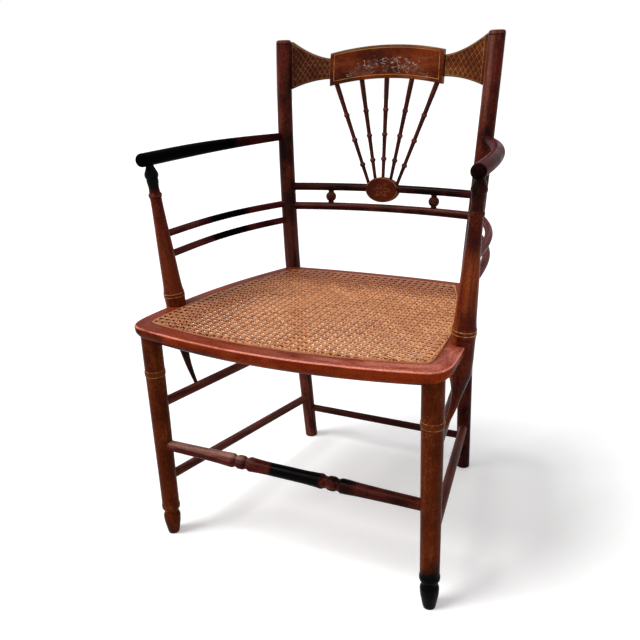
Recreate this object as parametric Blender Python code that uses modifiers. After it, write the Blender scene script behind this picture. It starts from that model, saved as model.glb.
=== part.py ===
"""Armchair with a caned seat and a fan of turned spindles in its back.

Metres, +Z up. The chair faces -Y and stands on z = 0.
Left and right are as seen from the front, so left is -X.
"""

import math
from functools import partial

import bmesh
import bpy
from mathutils import Matrix, Vector
from mathutils.geometry import interpolate_bezier

# Overall sizes
OVERALL_HEIGHT = 0.899
SEAT_HEIGHT = 0.4345
SEAT_THICK = 0.026
CLEARANCE = 0.0003  # gap between pieces that touch on the real chair
TENON_CORE = 0.006  # wood left between a tenon's end and the axis of the post it enters

# Rear posts: floor, seat and top of one bent axis
REAR_FOOT_X = 0.188
REAR_FOOT_Y = 0.230
POST_SEAT_X = 0.1935
POST_SEAT_Y = 0.1895
POST_TOP_X = 0.2200
POST_TOP_Y = 0.2420
POST_BEND = 0.006  # softness of the bend at the seat
POST_BOW_OUT = 0.0027  # the back of a post bows outwards and forwards between seat and top
POST_BOW_AHEAD = 0.0038
POST_FOOT_RADIUS = 0.0140
POST_SEAT_RADIUS = 0.0162
POST_TOP_RADIUS = 0.0155
POST_CHAMFER = 0.003

# Widest half of the seat; the front legs, arm posts and arms keep their places by it
SEAT_SIDE_X = 0.2876

# Front legs
FRONT_LEG_INSET = 0.0271
FRONT_LEG_X = SEAT_SIDE_X - FRONT_LEG_INSET
FRONT_LEG_Y = -0.226
LEG_TOP_RADIUS = 0.0179
LEG_ANKLE_RADIUS = 0.0163
LEG_RING_RADIUS = 0.0189
LEG_RING_DROP = 0.0695  # ring below the underside of the seat
FOOT_BULB_RADIUS = 0.0160
FOOT_NECK_RADIUS = 0.0127
FOOT_TOE_RADIUS = 0.0102
LEG_TENON_RADIUS = 0.0090
LEG_TENON_LENGTH = 0.010
LEG_HOUSING = 0.006  # depth of the leg's whole top in the seat frame

# Seat frame, in plan
SEAT_FRONT_Y = -0.288
SEAT_FRONT_BOW = 0.0293  # how far the front edge sweeps back to the corners
SEAT_CORNER_INSET = 0.0336
SEAT_CORNER_X = SEAT_SIDE_X - SEAT_CORNER_INSET
SEAT_SIDE_Y = -0.205  # where the straight of the side ends and the corner begins
SEAT_BACK_BOW = 0.0095
SEAT_EDGE_ROUND = 0.0042
SEAT_UNDERCUT = 0.0115
RAIL_SHOW = 0.0265  # width of wood that shows in front of the cane
SIDE_SHOW_EXTRA = 0.0045  # more wood shows beside it
CANE_CORNER = 0.58  # how much squarer the cane's corners are than the seat's
CANE_LAP = 0.016  # wood under the edge of the cane
SIDE_JOINT_Y = -0.166
SEAT_TENON_RADIUS = 0.0045
SIDE_TENON_OUT = 0.003  # side rail's tenon outside the axis of the rear post
BACK_TENON_AHEAD = 0.0095  # back rail's tenon in front of the same axis

# Cane
CANE_THICK = 0.0020
CANE_PITCH = 0.0280
CANE_STRAND = 0.0100
BINDING_WIDTH = 0.0060
BINDING_THICK = 0.0012

# Arms and arm posts
ARM_HEIGHT = 0.7095  # axis of the arm at the rear post
ARM_DROP = 0.005
ARM_TIP_OUT = 0.0099  # the arm ends a little outside the seat
ARM_TIP_X = SEAT_SIDE_X + ARM_TIP_OUT
ARM_TIP_Y = -0.1585
ARM_REAR_RADIUS = 0.0073
ARM_FRONT_RADIUS = 0.0121
ARM_POST_INSET = 0.0116
ARM_POST_X = SEAT_SIDE_X - ARM_POST_INSET
ARM_POST_Y = -0.1265
ARM_POST_HEAD_Y = -0.1330
ARM_POST_RADIUS = 0.0196
ARM_POST_NECK_RADIUS = 0.0070
ARM_POST_RING_RADIUS = 0.0122
ARM_POST_BASE = 0.024  # straight foot above the seat
ARM_POST_TENON_RADIUS = 0.0058
ARM_TAIL_RADIUS = 0.0030
ARM_TAIL_SHOULDER = 0.028  # full thickness kept below the seat
ARM_RAIL_RADIUS = 0.0067
ARM_RAIL_UPPER_REAR = 0.5705
ARM_RAIL_UPPER_FRONT = 0.5680
ARM_RAIL_SPACING_REAR = 0.0340
ARM_RAIL_SPACING_FRONT = 0.0390
ARM_RAIL_LOWER_REAR = ARM_RAIL_UPPER_REAR - ARM_RAIL_SPACING_REAR
ARM_RAIL_LOWER_FRONT = ARM_RAIL_UPPER_FRONT - ARM_RAIL_SPACING_FRONT
SWEEP_REAR = (0.90, 0.40)  # outward and forward share of the first handle of a bowed rail
SWEEP_FRONT = (0.92, 0.62)

# Back
BACK_BOW = 0.0275  # depth of the back's curve in plan
RAIL_UPPER_RISE = 0.1710  # upper back rail above the seat
RAIL_SPACING = 0.0405
RAIL_UPPER_HEIGHT = SEAT_HEIGHT + RAIL_UPPER_RISE
RAIL_LOWER_HEIGHT = RAIL_UPPER_HEIGHT - RAIL_SPACING
BACK_RAIL_RADIUS = 0.0080
MEDALLION_WIDTH = 0.072
MEDALLION_HEIGHT = 0.051
MEDALLION_THICK = 0.016
MEDALLION_DROP = 0.003  # middle of the medallion below the upper rail
MEDALLION_TENON_RADIUS = 0.0040
MEDALLION_TENON = 0.010
BALL_X = 0.113
BALL_RADIUS = 0.0108
BALL_COLLAR_RADIUS = 0.0062
BALL_PIN_RADIUS = 0.0030
BALL_PIN_LENGTH = 0.004
SPINDLE_COUNT = 5
SPINDLE_SPACING = 0.0531  # between spindles, at the tablet
SPINDLE_RADIUS = 0.0050
SPINDLE_TIP_RADIUS = 0.0034
SPINDLE_RING_RADIUS = 0.0060
SPINDLE_RING_WIDTH = 0.0030
SPINDLE_TENON = 0.006
SPINDLE_FOOT_TENON = 0.004
FAN_SHARE = 0.335  # the spindles' lines meet below the upper rail, by this share of the space above it

# Crest
TABLET_HALF_WIDTH = 0.1185
TABLET_DROP = 0.0918  # lower corners of the tablet below the tops of the posts
TABLET_HEIGHT = 0.0625
TABLET_ARCH = 0.0125
TABLET_THICK = 0.0135
TABLET_AHEAD = 0.0060  # face of the tablet in front of the axis of the posts
WING_THICK = 0.0080
WING_STEP = 0.0055  # face of a wing behind the face of the tablet
WING_DROP = 0.0785  # lower edge of a wing at the tablet, below the tops of the posts
WING_WAIST = 0.0397
WING_RISE = 0.0348
WING_FALL = 0.0181
WING_HOUSING = 0.008
WING_TENON_THICK = 0.0050
WING_TENON_SHOULDER = 0.016

# Stretchers
FRONT_STRETCHER_HEIGHT = 0.192
FRONT_STRETCHER_RADIUS = 0.0106
FRONT_STRETCHER_SWELL = 0.0129
STRETCHER_TURNING_X = 0.090  # middle of each turned group
SIDE_STRETCHER_RADIUS = 0.0087
SIDE_UPPER_FRONT = 0.274
SIDE_UPPER_REAR = 0.262
SIDE_LOWER_FRONT = 0.121
SIDE_LOWER_REAR = 0.104
BACK_STRETCHER_HEIGHT = 0.077
BACK_STRETCHER_RADIUS = 0.0078

SIDES = (("left", -1), ("right", 1))
DARK_LACQUER = (0.055, 0.012, 0.008, 1.0)
BROWN_LACQUER = (0.115, 0.032, 0.012, 1.0)
RED_LACQUER = (0.200, 0.038, 0.022, 1.0)
CANE = (0.480, 0.250, 0.110, 1.0)

for old in list(bpy.data.objects):
    bpy.data.objects.remove(old, do_unlink=True)

parts = bpy.data.collections.new("armchair")
tools = bpy.data.collections.new("armchair_cutters")
bpy.context.scene.collection.children.link(parts)
bpy.context.scene.collection.children.link(tools)
tools.hide_render = True
root = bpy.data.objects.new("armchair_root", None)
parts.objects.link(root)


# Shared ways of making a solid

def place(name, mesh):
    piece = bpy.data.objects.new(name, mesh)
    tools.objects.link(piece)
    piece.parent = root
    return piece


def weld(mesh):
    work = bmesh.new()
    work.from_mesh(mesh)
    bmesh.ops.remove_doubles(work, verts=work.verts, dist=1e-6)
    bmesh.ops.recalc_face_normals(work, faces=work.faces)
    work.to_mesh(mesh)
    work.free()
    return mesh


def solid_from(name, source):
    """The evaluated shape of a helper object as a closed mesh under the wanted name."""
    bpy.context.scene.collection.objects.link(source)
    bpy.context.view_layer.update()
    graph = bpy.context.evaluated_depsgraph_get()
    mesh = bpy.data.meshes.new_from_object(source.evaluated_get(graph))
    bpy.data.objects.remove(source, do_unlink=True)
    mesh.name = name
    return place(name, weld(mesh))


def tube(name, points, radii, resolution=3):
    """Round bar along points, each with its own radius."""
    curve = bpy.data.curves.new(name, "CURVE")
    curve.dimensions = "3D"
    curve.bevel_depth = max(radii)
    curve.bevel_resolution = resolution
    curve.use_fill_caps = True
    spline = curve.splines.new("POLY")
    spline.points.add(len(points) - 1)
    for knot, point, radius in zip(spline.points, points, radii):
        knot.co = (*point, 1.0)
        knot.radius = radius / max(radii)
    return solid_from(name, bpy.data.objects.new(name, curve))


def rod(name, start, end, radius, sides=12):
    """Straight round bar between two points."""
    run = end - start
    bpy.ops.mesh.primitive_cylinder_add(
        vertices=sides, radius=radius, depth=run.length, location=(start + end) / 2,
        rotation=run.to_track_quat("Z", "Y").to_euler())
    return adopt(name)


def box(name, low, high):
    bpy.ops.mesh.primitive_cube_add(size=1, location=(low + high) / 2)
    bpy.context.object.scale = high - low
    return adopt(name)


def adopt(name):
    piece = bpy.context.object
    piece.name = name
    for home in list(piece.users_collection):
        home.objects.unlink(piece)
    tools.objects.link(piece)
    piece.parent = root
    return piece


def turned(name, profile, steps):
    """Turned solid on Z from (radius, height) steps that run from top to bottom."""
    mesh = bpy.data.meshes.new(name)
    points = [(0, 0, profile[0][1])]
    points += [(radius, 0, height) for radius, height in profile]
    points += [(0, 0, profile[-1][1])]
    mesh.from_pydata(points, [(i, i + 1) for i in range(len(points) - 1)], [])
    source = bpy.data.objects.new(name, mesh)
    spin = source.modifiers.new("turn", "SCREW")
    spin.steps = steps
    spin.render_steps = steps
    spin.use_merge_vertices = True
    spin.merge_threshold = 1e-5
    return solid_from(name, source)


def loft(name, loops, ring=False):
    """Skin over sections with equal counts of points, closed by caps or round to the first."""
    work = bmesh.new()
    rows = [[work.verts.new(point) for point in loop] for loop in loops]
    pairs = list(zip(rows, rows[1:]))
    if ring:
        pairs.append((rows[-1], rows[0]))
    else:
        work.faces.new(rows[0])
        work.faces.new(rows[-1])
    for one, two in pairs:
        for i in range(len(one)):
            j = (i + 1) % len(one)
            work.faces.new((one[i], one[j], two[j], two[i]))
    mesh = bpy.data.meshes.new(name)
    work.to_mesh(mesh)
    work.free()
    return place(name, weld(mesh))


def plate(name, loops, low, thick):
    """Flat sheet between z = low and low + thick; loops after the first are holes."""
    curve = bpy.data.curves.new(name, "CURVE")
    curve.dimensions = "2D"
    curve.fill_mode = "BOTH"
    curve.extrude = thick / 2
    for loop in loops:
        spline = curve.splines.new("POLY")
        spline.points.add(len(loop) - 1)
        spline.use_cyclic_u = True
        for knot, (x, y) in zip(spline.points, loop):
            knot.co = (x, y, 0, 1)
    sheet = solid_from(name, bpy.data.objects.new(name, curve))
    sheet.location.z = low + thick / 2
    return sheet


def combine(piece, tool, operation):
    change = piece.modifiers.new(operation.lower() + "_" + tool.name, "BOOLEAN")
    change.operation = operation
    change.solver = "EXACT"
    change.object = tool


# Lines that several pieces share

def post_axis(side, z):
    """Axis of a rear post: the leg line and the back line meet softly at the seat."""
    share = z / SEAT_HEIGHT
    leg = Vector((REAR_FOOT_X, REAR_FOOT_Y)).lerp(Vector((POST_SEAT_X, POST_SEAT_Y)), share)
    rise = (z - SEAT_HEIGHT) / (OVERALL_HEIGHT - SEAT_HEIGHT)
    bow = max(0.0, 4 * rise * (1 - rise))
    back_x = POST_SEAT_X + (POST_TOP_X - POST_SEAT_X) * rise + POST_BOW_OUT * bow
    back_y = POST_SEAT_Y + (POST_TOP_Y - POST_SEAT_Y) * rise - POST_BOW_AHEAD * bow
    soft = [(a + b + math.hypot(a - b, POST_BEND)) / 2 for a, b in zip(leg, (back_x, back_y))]
    return Vector((side * soft[0], soft[1], z))


def post_radius(z):
    if z < SEAT_HEIGHT:
        return POST_FOOT_RADIUS + (POST_SEAT_RADIUS - POST_FOOT_RADIUS) * z / SEAT_HEIGHT
    rise = (z - SEAT_HEIGHT) / (OVERALL_HEIGHT - SEAT_HEIGHT)
    return POST_SEAT_RADIUS + (POST_TOP_RADIUS - POST_SEAT_RADIUS) * rise


def back_point(x, z, behind=0.0):
    """Point on the bowed, raked surface that the rails, fan and crest follow."""
    half = abs(post_axis(1, z).x)
    bow = BACK_BOW * (1 - (x / half) ** 2)
    return Vector((x, post_axis(1, z).y + bow + behind, z))


def bowed_line(rear, front, count):
    """Points of an arm or arm rail from its rear post, swept outwards and then forwards."""
    handles = []
    for out, along in (SWEEP_REAR, SWEEP_FRONT):
        handle = rear.lerp(front, along)
        handle.x = rear.x + (front.x - rear.x) * out
        handles.append(handle)
    return interpolate_bezier(rear, handles[0], handles[1], front, count)


def arm_line(side):
    rear = post_axis(side, ARM_HEIGHT)
    tip = Vector((side * ARM_TIP_X, ARM_TIP_Y, ARM_HEIGHT - ARM_DROP))
    return bowed_line(rear, tip, 19)


def arm_post_head(side):
    """Point on the arm's axis over the arm post."""
    line = arm_line(side)
    for one, two in zip(line, line[1:]):
        if two.y <= ARM_POST_HEAD_Y <= one.y:
            return one.lerp(two, (one.y - ARM_POST_HEAD_Y) / (one.y - two.y))
    return line[-1].copy()


def arm_post_axis(side, z):
    foot = Vector((side * ARM_POST_X, ARM_POST_Y, SEAT_HEIGHT))
    head = arm_post_head(side)
    return foot + (head - foot) * ((z - SEAT_HEIGHT) / (head.z - SEAT_HEIGHT))


def side_stretcher_ends(side, front_z, rear_z):
    return Vector((side * FRONT_LEG_X, FRONT_LEG_Y, front_z)), post_axis(side, rear_z)


def trimmed(start, end):
    """The same line, stopped short of both axes."""
    step = (end - start).normalized() * TENON_CORE
    return start + step, end - step


def rear_corner():
    post = post_axis(1, SEAT_HEIGHT)
    return Vector((post.x + POST_SEAT_RADIUS * 0.26, post.y - POST_SEAT_RADIUS * 0.40, 0))


def seat_half(square=0.0):
    """Right half of the seat's plan, from the middle of the front to the middle of the back."""
    front = []
    corner_x = SEAT_CORNER_X + square * SEAT_CORNER_INSET
    bow = SEAT_FRONT_BOW * (corner_x / SEAT_CORNER_X) ** 2
    for i in range(9):
        front.append(Vector((corner_x * i / 8, SEAT_FRONT_Y + bow * (i / 8) ** 2, 0)))
    corner_deep = SEAT_SIDE_Y - SEAT_FRONT_Y - SEAT_FRONT_BOW
    side_start = Vector((SEAT_SIDE_X, SEAT_SIDE_Y - square * corner_deep * 0.6, 0))
    slope = Vector((corner_x, 2 * bow, 0)).normalized()
    reach = (side_start - front[-1]).length * 0.46
    corner = interpolate_bezier(
        front[-1], front[-1] + slope * reach, side_start - Vector((0, reach, 0)), side_start, 7)
    rear = rear_corner()
    handles = []
    for out, along in ((0.93, 0.655), (0.74, 0.40)):
        y = rear.y + (side_start.y - rear.y) * along
        handles.append(Vector((rear.x + (side_start.x - rear.x) * out, y, 0)))
    side = interpolate_bezier(side_start, handles[0], handles[1], rear, 13)
    back = []
    for i in range(5):
        x = rear.x * (1 - i / 4)
        back.append(Vector((x, rear.y + SEAT_BACK_BOW * (1 - (x / rear.x) ** 2), 0)))
    return front[:-1] + corner[:-1] + side[:-1] + back


def seat_loop(inset, z=0.0):
    """Seat outline drawn in on every side, with squarer corners towards the cane."""
    inner = min(max(inset - SEAT_UNDERCUT, 0.0) / (RAIL_SHOW - SEAT_UNDERCUT), 1.0)
    half = seat_half(CANE_CORNER * inner)
    outline = half + [Vector((-p.x, p.y, 0)) for p in reversed(half[1:-1])]
    low = min(p.y for p in outline)
    high = max(p.y for p in outline)
    middle = (low + high) / 2
    wide = 1 - (inset + SIDE_SHOW_EXTRA * inner) / max(p.x for p in outline)
    deep = 1 - inset / (high - middle)
    return [Vector((p.x * wide, middle + (p.y - middle) * deep, z)) for p in outline]


def inside(point, loop):
    hit = False
    for one, two in zip(loop, loop[1:] + loop[:1]):
        if (one.y > point.y) != (two.y > point.y):
            x = one.x + (two.x - one.x) * (point.y - one.y) / (two.y - one.y)
            hit ^= point.x < x
    return hit


# Posts and legs

def rear_post(name, side, grow=0.0):
    heights = [-POST_CHAMFER * 3, 0.0, POST_CHAMFER]
    heights += [SEAT_HEIGHT * i / 9 for i in range(1, 15)]
    heights += [OVERALL_HEIGHT * 0.85, OVERALL_HEIGHT - POST_CHAMFER, OVERALL_HEIGHT, OVERALL_HEIGHT + POST_CHAMFER * 3]
    radii = [post_radius(z) + grow for z in heights]
    for end in (0, 1, -1, -2):
        radii[end] -= POST_CHAMFER
    piece = tube(name, [post_axis(side, z) for z in heights], radii, 4)
    work = bmesh.new()
    work.from_mesh(piece.data)
    for z, up in ((-grow, -1), (OVERALL_HEIGHT + grow, 1)):
        geometry = work.verts[:] + work.edges[:] + work.faces[:]
        bmesh.ops.bisect_plane(work, geom=geometry, plane_co=(0, 0, z), plane_no=(0, 0, up), clear_outer=True)
        open_edges = [edge for edge in work.edges if edge.is_boundary]
        bmesh.ops.holes_fill(work, edges=open_edges)
    bmesh.ops.recalc_face_normals(work, faces=work.faces)
    work.to_mesh(piece.data)
    work.free()
    return piece


def front_leg(name, side, grow=0.0):
    top = SEAT_HEIGHT - SEAT_THICK + LEG_HOUSING
    ring = SEAT_HEIGHT - SEAT_THICK - LEG_RING_DROP
    steps = [
        (LEG_TENON_RADIUS, top + LEG_TENON_LENGTH),
        (LEG_TENON_RADIUS, top),
        (LEG_TOP_RADIUS, top),
        (LEG_TOP_RADIUS, ring + 0.007),
        (LEG_RING_RADIUS, ring + 0.002),
        (LEG_RING_RADIUS, ring - 0.002),
        (LEG_TOP_RADIUS - 0.0002, ring - 0.007),
        (LEG_ANKLE_RADIUS, 0.066),
        (LEG_ANKLE_RADIUS + 0.0011, 0.061),
        (LEG_ANKLE_RADIUS + 0.0008, 0.056),
        (FOOT_NECK_RADIUS, 0.050),
        (FOOT_NECK_RADIUS, 0.046),
        (FOOT_BULB_RADIUS, 0.038),
        (FOOT_BULB_RADIUS - 0.0003, 0.030),
        (FOOT_TOE_RADIUS + 0.0030, 0.014),
        (FOOT_TOE_RADIUS + 0.0006, 0.002),
        (FOOT_TOE_RADIUS, 0.0),
    ]
    steps = [(radius + grow, z + grow if z >= top else z) for radius, z in steps]
    piece = turned(name, steps, 18)
    piece.location = (side * FRONT_LEG_X, FRONT_LEG_Y, 0)
    return piece


def arm_post(name, side, grow=0.0):
    head = arm_post_head(side)
    neck = head.z - ARM_FRONT_RADIUS + 0.002
    base = SEAT_HEIGHT + ARM_POST_BASE
    taper = neck - 0.060 - base
    above = [
        (base, ARM_POST_RADIUS),
        (base + taper * 0.03, ARM_POST_RADIUS * 0.930),
        (base + taper * 0.10, ARM_POST_RADIUS * 0.868),
        (base + taper * 0.28, ARM_POST_RADIUS * 0.800),
        (base + taper * 0.50, ARM_POST_RADIUS * 0.718),
        (base + taper * 0.72, ARM_POST_RADIUS * 0.618),
        (neck - 0.060, ARM_POST_RADIUS * 0.530),
        (neck - 0.056, ARM_POST_RING_RADIUS),
        (neck - 0.051, ARM_POST_RING_RADIUS),
        (neck - 0.0485, ARM_POST_RING_RADIUS * 0.75),
        (neck - 0.0450, ARM_POST_RING_RADIUS * 0.74),
        (neck - 0.0290, ARM_POST_RING_RADIUS * 0.89),
        (neck - 0.0245, ARM_POST_RING_RADIUS * 0.86),
        (neck - 0.0205, ARM_POST_RING_RADIUS * 1.02),
        (neck - 0.0155, ARM_POST_RING_RADIUS * 1.02),
        (neck - 0.0090, ARM_POST_RING_RADIUS * 0.80),
        (neck, ARM_POST_NECK_RADIUS),
        (neck + 0.0002, ARM_POST_TENON_RADIUS),
        (head.z + grow, ARM_POST_TENON_RADIUS),
    ]
    under = SEAT_HEIGHT - SEAT_THICK
    front, rear = side_stretcher_ends(side, SIDE_UPPER_FRONT, SIDE_UPPER_REAR)
    seat_end = arm_post_axis(side, under)
    foot = front.lerp(rear, (ARM_POST_Y - front.y) / (rear.y - front.y))
    tail = [(foot, ARM_TAIL_RADIUS)]
    shoulder = seat_end - Vector((side * 0.002, 0, ARM_TAIL_SHOULDER))
    rise = foot + Vector((0, 0, SIDE_STRETCHER_RADIUS))
    for share, radius in ((0.0, ARM_TAIL_RADIUS), (0.36, 0.0055), (0.60, 0.0078), (0.82, 0.0125)):
        bulge = Vector((side * 0.006 * math.sin(math.pi * share), 0, 0))
        tail.append((rise.lerp(shoulder, share) + bulge, radius))
    tail += [(shoulder, ARM_POST_RADIUS - 0.001), (seat_end, ARM_POST_RADIUS)]
    points = [point for point, radius in tail] + [arm_post_axis(side, z) for z, radius in above]
    radii = [radius + grow for point, radius in tail] + [radius + grow for z, radius in above]
    return tube(name, points, radii, 5)


# Seat

def seat_region(name, lows, highs):
    """Block that keeps one rail's share of the seat ring."""
    return box(name, Vector((*lows, SEAT_HEIGHT - SEAT_THICK * 2)), Vector((*highs, SEAT_HEIGHT + SEAT_THICK)))


def seat_ring(name):
    top = SEAT_HEIGHT
    edge = SEAT_EDGE_ROUND
    low = SEAT_HEIGHT - SEAT_THICK
    opening = RAIL_SHOW + CANE_LAP
    sections = [
        (edge, top), (edge * 0.4, top - edge * 0.3), (0.0, top - edge), (0.0006, top - SEAT_THICK * 0.45),
        (SEAT_UNDERCUT * 0.40, top - SEAT_THICK * 0.76), (SEAT_UNDERCUT, low), (opening, low), (opening, top),
    ]
    return loft(name, [seat_loop(inset, z) for inset, z in sections], ring=True)


def seat_rail(name, region):
    rail = seat_ring(name)
    combine(rail, region, "INTERSECT")
    return rail


def side_tenon_rear(name, side, grow=0.0):
    post = post_axis(side, SEAT_HEIGHT - SEAT_THICK / 2)
    end = post + Vector((side * SIDE_TENON_OUT, grow - TENON_CORE, 0))
    return rod(name, end - Vector((0, POST_SEAT_RADIUS * 2.2, 0)), end, SEAT_TENON_RADIUS + grow)


def side_tenon_front(name, side, grow=0.0):
    z = SEAT_HEIGHT - SEAT_THICK / 2
    x = side * (SEAT_SIDE_X - (RAIL_SHOW + CANE_LAP) / 2)
    start = Vector((x, SIDE_JOINT_Y + 0.012, z))
    return rod(name, start, start - Vector((0, 0.032 + grow, 0)), SEAT_TENON_RADIUS + grow)


def back_tenon(name, side, grow=0.0):
    post = post_axis(side, SEAT_HEIGHT - SEAT_THICK / 2)
    end = post + Vector((side * (grow - TENON_CORE), -BACK_TENON_AHEAD, 0))
    return rod(name, end - Vector((side * POST_SEAT_RADIUS * 2.2, 0, 0)), end, SEAT_TENON_RADIUS + grow)


def cane_holes(name):
    """One block for each gap of the weave, all inside the opening of the frame."""
    room = seat_loop(RAIL_SHOW + CANE_LAP + 0.001)
    gap = (CANE_PITCH - CANE_STRAND) / 2
    reach = int(SEAT_SIDE_X / CANE_PITCH) + 1
    middle = (SEAT_FRONT_Y + rear_corner().y) / 2
    work = bmesh.new()
    for row in range(-reach, reach + 1):
        for column in range(-reach, reach + 1):
            centre = Vector((column * CANE_PITCH, middle + row * CANE_PITCH, SEAT_HEIGHT))
            corners = [centre + Vector((i * gap, j * gap, 0)) for i in (-1, 1) for j in (-1, 1)]
            if all(inside(corner, room) for corner in corners):
                size = Matrix.Diagonal((gap * 2, gap * 2, CANE_THICK * 6, 1))
                bmesh.ops.create_cube(work, size=1, matrix=Matrix.Translation(centre) @ size)
    mesh = bpy.data.meshes.new(name)
    work.to_mesh(mesh)
    work.free()
    return place(name, mesh)


def cane_panel(name):
    edge = [(p.x, p.y) for p in seat_loop(RAIL_SHOW)]
    return plate(name, [edge], SEAT_HEIGHT + CLEARANCE, CANE_THICK)


def cane_binding(name):
    outer = [(p.x, p.y) for p in seat_loop(RAIL_SHOW)]
    inner = [(p.x, p.y) for p in seat_loop(RAIL_SHOW + BINDING_WIDTH)]
    return plate(name, [outer, inner], SEAT_HEIGHT + CANE_THICK + 2 * CLEARANCE, BINDING_THICK)


# Arms

def arm(name, side, grow=0.0):
    line = arm_line(side)
    start = line[0] + (line[1] - line[0]).normalized() * (TENON_CORE - grow)
    points = [start] + line[1:]
    radii = []
    for i in range(len(points)):
        share = min(i / (len(points) - 1) / 0.8, 1.0)
        radii.append(ARM_REAR_RADIUS + (ARM_FRONT_RADIUS - ARM_REAR_RADIUS) * share * (2 - share) + grow)
    tip = points.pop()
    ahead = (tip - points[-1]).normalized()
    blunt = radii.pop()
    for back, share in ((0.0065, 1.0), (0.0025, 0.90), (0.0005, 0.70), (0.0, 0.55)):
        points.append(tip - ahead * back)
        radii.append(blunt * share)
    return tube(name, points, radii, 4)


def arm_rail(name, side, rear_z, front_z, grow=0.0):
    line = bowed_line(post_axis(side, rear_z), arm_post_axis(side, front_z), 14)
    line[0] += (line[1] - line[0]).normalized() * (TENON_CORE - grow)
    line[-1] += (line[-2] - line[-1]).normalized() * (TENON_CORE / 2 - grow)
    return tube(name, line, [ARM_RAIL_RADIUS + grow] * len(line), 2)


# Back

def back_line(z, start, end, count):
    return [back_point(start + (end - start) * i / count, z) for i in range(count + 1)]


def back_rail_lower(name, grow=0.0):
    half = post_axis(1, RAIL_LOWER_HEIGHT).x - TENON_CORE + grow
    line = back_line(RAIL_LOWER_HEIGHT, -half, half, 14)
    return tube(name, line, [BACK_RAIL_RADIUS + grow] * len(line), 3)


def back_rail_upper(name, side, grow=0.0):
    outer = post_axis(1, RAIL_UPPER_HEIGHT).x - TENON_CORE + grow
    shoulder = MEDALLION_WIDTH / 2 + CLEARANCE
    line = back_line(RAIL_UPPER_HEIGHT, side * outer, side * shoulder, 8)
    radii = [BACK_RAIL_RADIUS + grow] * len(line)
    for x in (shoulder - 0.0002, MEDALLION_WIDTH / 2 - MEDALLION_TENON - grow):
        line.append(back_point(side * x, RAIL_UPPER_HEIGHT))
        radii.append(MEDALLION_TENON_RADIUS + grow)
    return tube(name, line, radii, 3)


def back_medallion(name):
    bpy.ops.mesh.primitive_cylinder_add(vertices=32, radius=0.5, depth=1)
    piece = adopt(name)
    piece.scale = (MEDALLION_WIDTH, MEDALLION_HEIGHT, MEDALLION_THICK)
    piece.location = back_point(0, RAIL_UPPER_HEIGHT - MEDALLION_DROP)
    rake = math.atan2(POST_TOP_Y - POST_SEAT_Y, OVERALL_HEIGHT - SEAT_HEIGHT)
    piece.rotation_euler = (math.pi / 2 - rake, 0, 0)
    piece.data.transform(piece.matrix_basis)
    piece.matrix_basis.identity()
    soften(piece, 0.0035)
    return piece


def soften(piece, width, segments=1):
    edge = piece.modifiers.new("soft_edges", "BEVEL")
    edge.width = width
    edge.segments = segments
    edge.limit_method = "ANGLE"
    edge.angle_limit = math.radians(50)


def back_ball(name, side, grow=0.0):
    low = back_point(side * BALL_X, RAIL_LOWER_HEIGHT)
    high = back_point(side * BALL_X, RAIL_UPPER_HEIGHT)
    span = (high - low).length / 2
    seat = span - BACK_RAIL_RADIUS - CLEARANCE
    half = [
        (BALL_PIN_RADIUS, seat + BALL_PIN_LENGTH + grow),
        (BALL_PIN_RADIUS, seat),
        (BALL_COLLAR_RADIUS, seat),
        (BALL_COLLAR_RADIUS, BALL_RADIUS * 0.86),
        (BALL_RADIUS * 0.84, BALL_RADIUS * 0.54),
        (BALL_RADIUS, 0.0),
    ]
    steps = half + [(radius, -z) for radius, z in reversed(half[:-1])]
    piece = turned(name, [(radius + grow, z) for radius, z in steps], 14)
    piece.location = (low + high) / 2
    piece.rotation_euler = (high - low).to_track_quat("Z", "Y").to_euler()
    return piece


TABLET_LOW = OVERALL_HEIGHT - TABLET_DROP
WING_LOW = OVERALL_HEIGHT - WING_DROP


def tablet_edge(x, low):
    """Height of the arched lower or upper edge of the tablet."""
    height = low + TABLET_ARCH * (1 - (x / TABLET_HALF_WIDTH) ** 2)
    return height


def fan_spindle(name, index, grow=0.0):
    place_x = (index - (SPINDLE_COUNT - 1) / 2) * SPINDLE_SPACING
    top_z = tablet_edge(place_x, TABLET_LOW)
    hub_z = RAIL_UPPER_HEIGHT - MEDALLION_DROP
    fan_z = RAIL_UPPER_HEIGHT - FAN_SHARE * (tablet_edge(0, TABLET_LOW) - RAIL_UPPER_HEIGHT)
    slope = place_x / (top_z - fan_z)
    # Foot where the spindle's line meets the medallion's oval edge
    a = (slope / (MEDALLION_WIDTH / 2)) ** 2 + (1 / (MEDALLION_HEIGHT / 2)) ** 2
    x0 = slope * (hub_z - fan_z)
    b = 2 * slope * x0 / (MEDALLION_WIDTH / 2) ** 2
    c = (x0 / (MEDALLION_WIDTH / 2)) ** 2 - 1
    up = (-b + math.sqrt(b * b - 4 * a * c)) / (2 * a)
    foot = back_point(x0 + slope * up, hub_z + up)
    head = back_point(place_x, top_z, TABLET_THICK / 2 - TABLET_AHEAD)
    length = (head - foot).length
    steps = [(SPINDLE_RADIUS, length + SPINDLE_TENON + grow), (SPINDLE_RADIUS, length - 0.002)]
    for share in (0.69, 0.44, 0.19):
        z = length * share
        steps += [
            (SPINDLE_TIP_RADIUS * (1 + share / 2.3), z + SPINDLE_RING_WIDTH * 1.5),
            (SPINDLE_RING_RADIUS, z + SPINDLE_RING_WIDTH / 2),
            (SPINDLE_RING_RADIUS, z - SPINDLE_RING_WIDTH / 2),
            (SPINDLE_RADIUS * (0.73 + share * 0.27), z - SPINDLE_RING_WIDTH * 1.6),
        ]
    steps += [(SPINDLE_TIP_RADIUS, 0.004), (SPINDLE_TIP_RADIUS, -SPINDLE_FOOT_TENON - grow)]
    piece = turned(name, [(radius + grow, z) for radius, z in steps], 10)
    piece.location = foot
    piece.rotation_euler = (head - foot).to_track_quat("Z", "Y").to_euler()
    return piece


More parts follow.
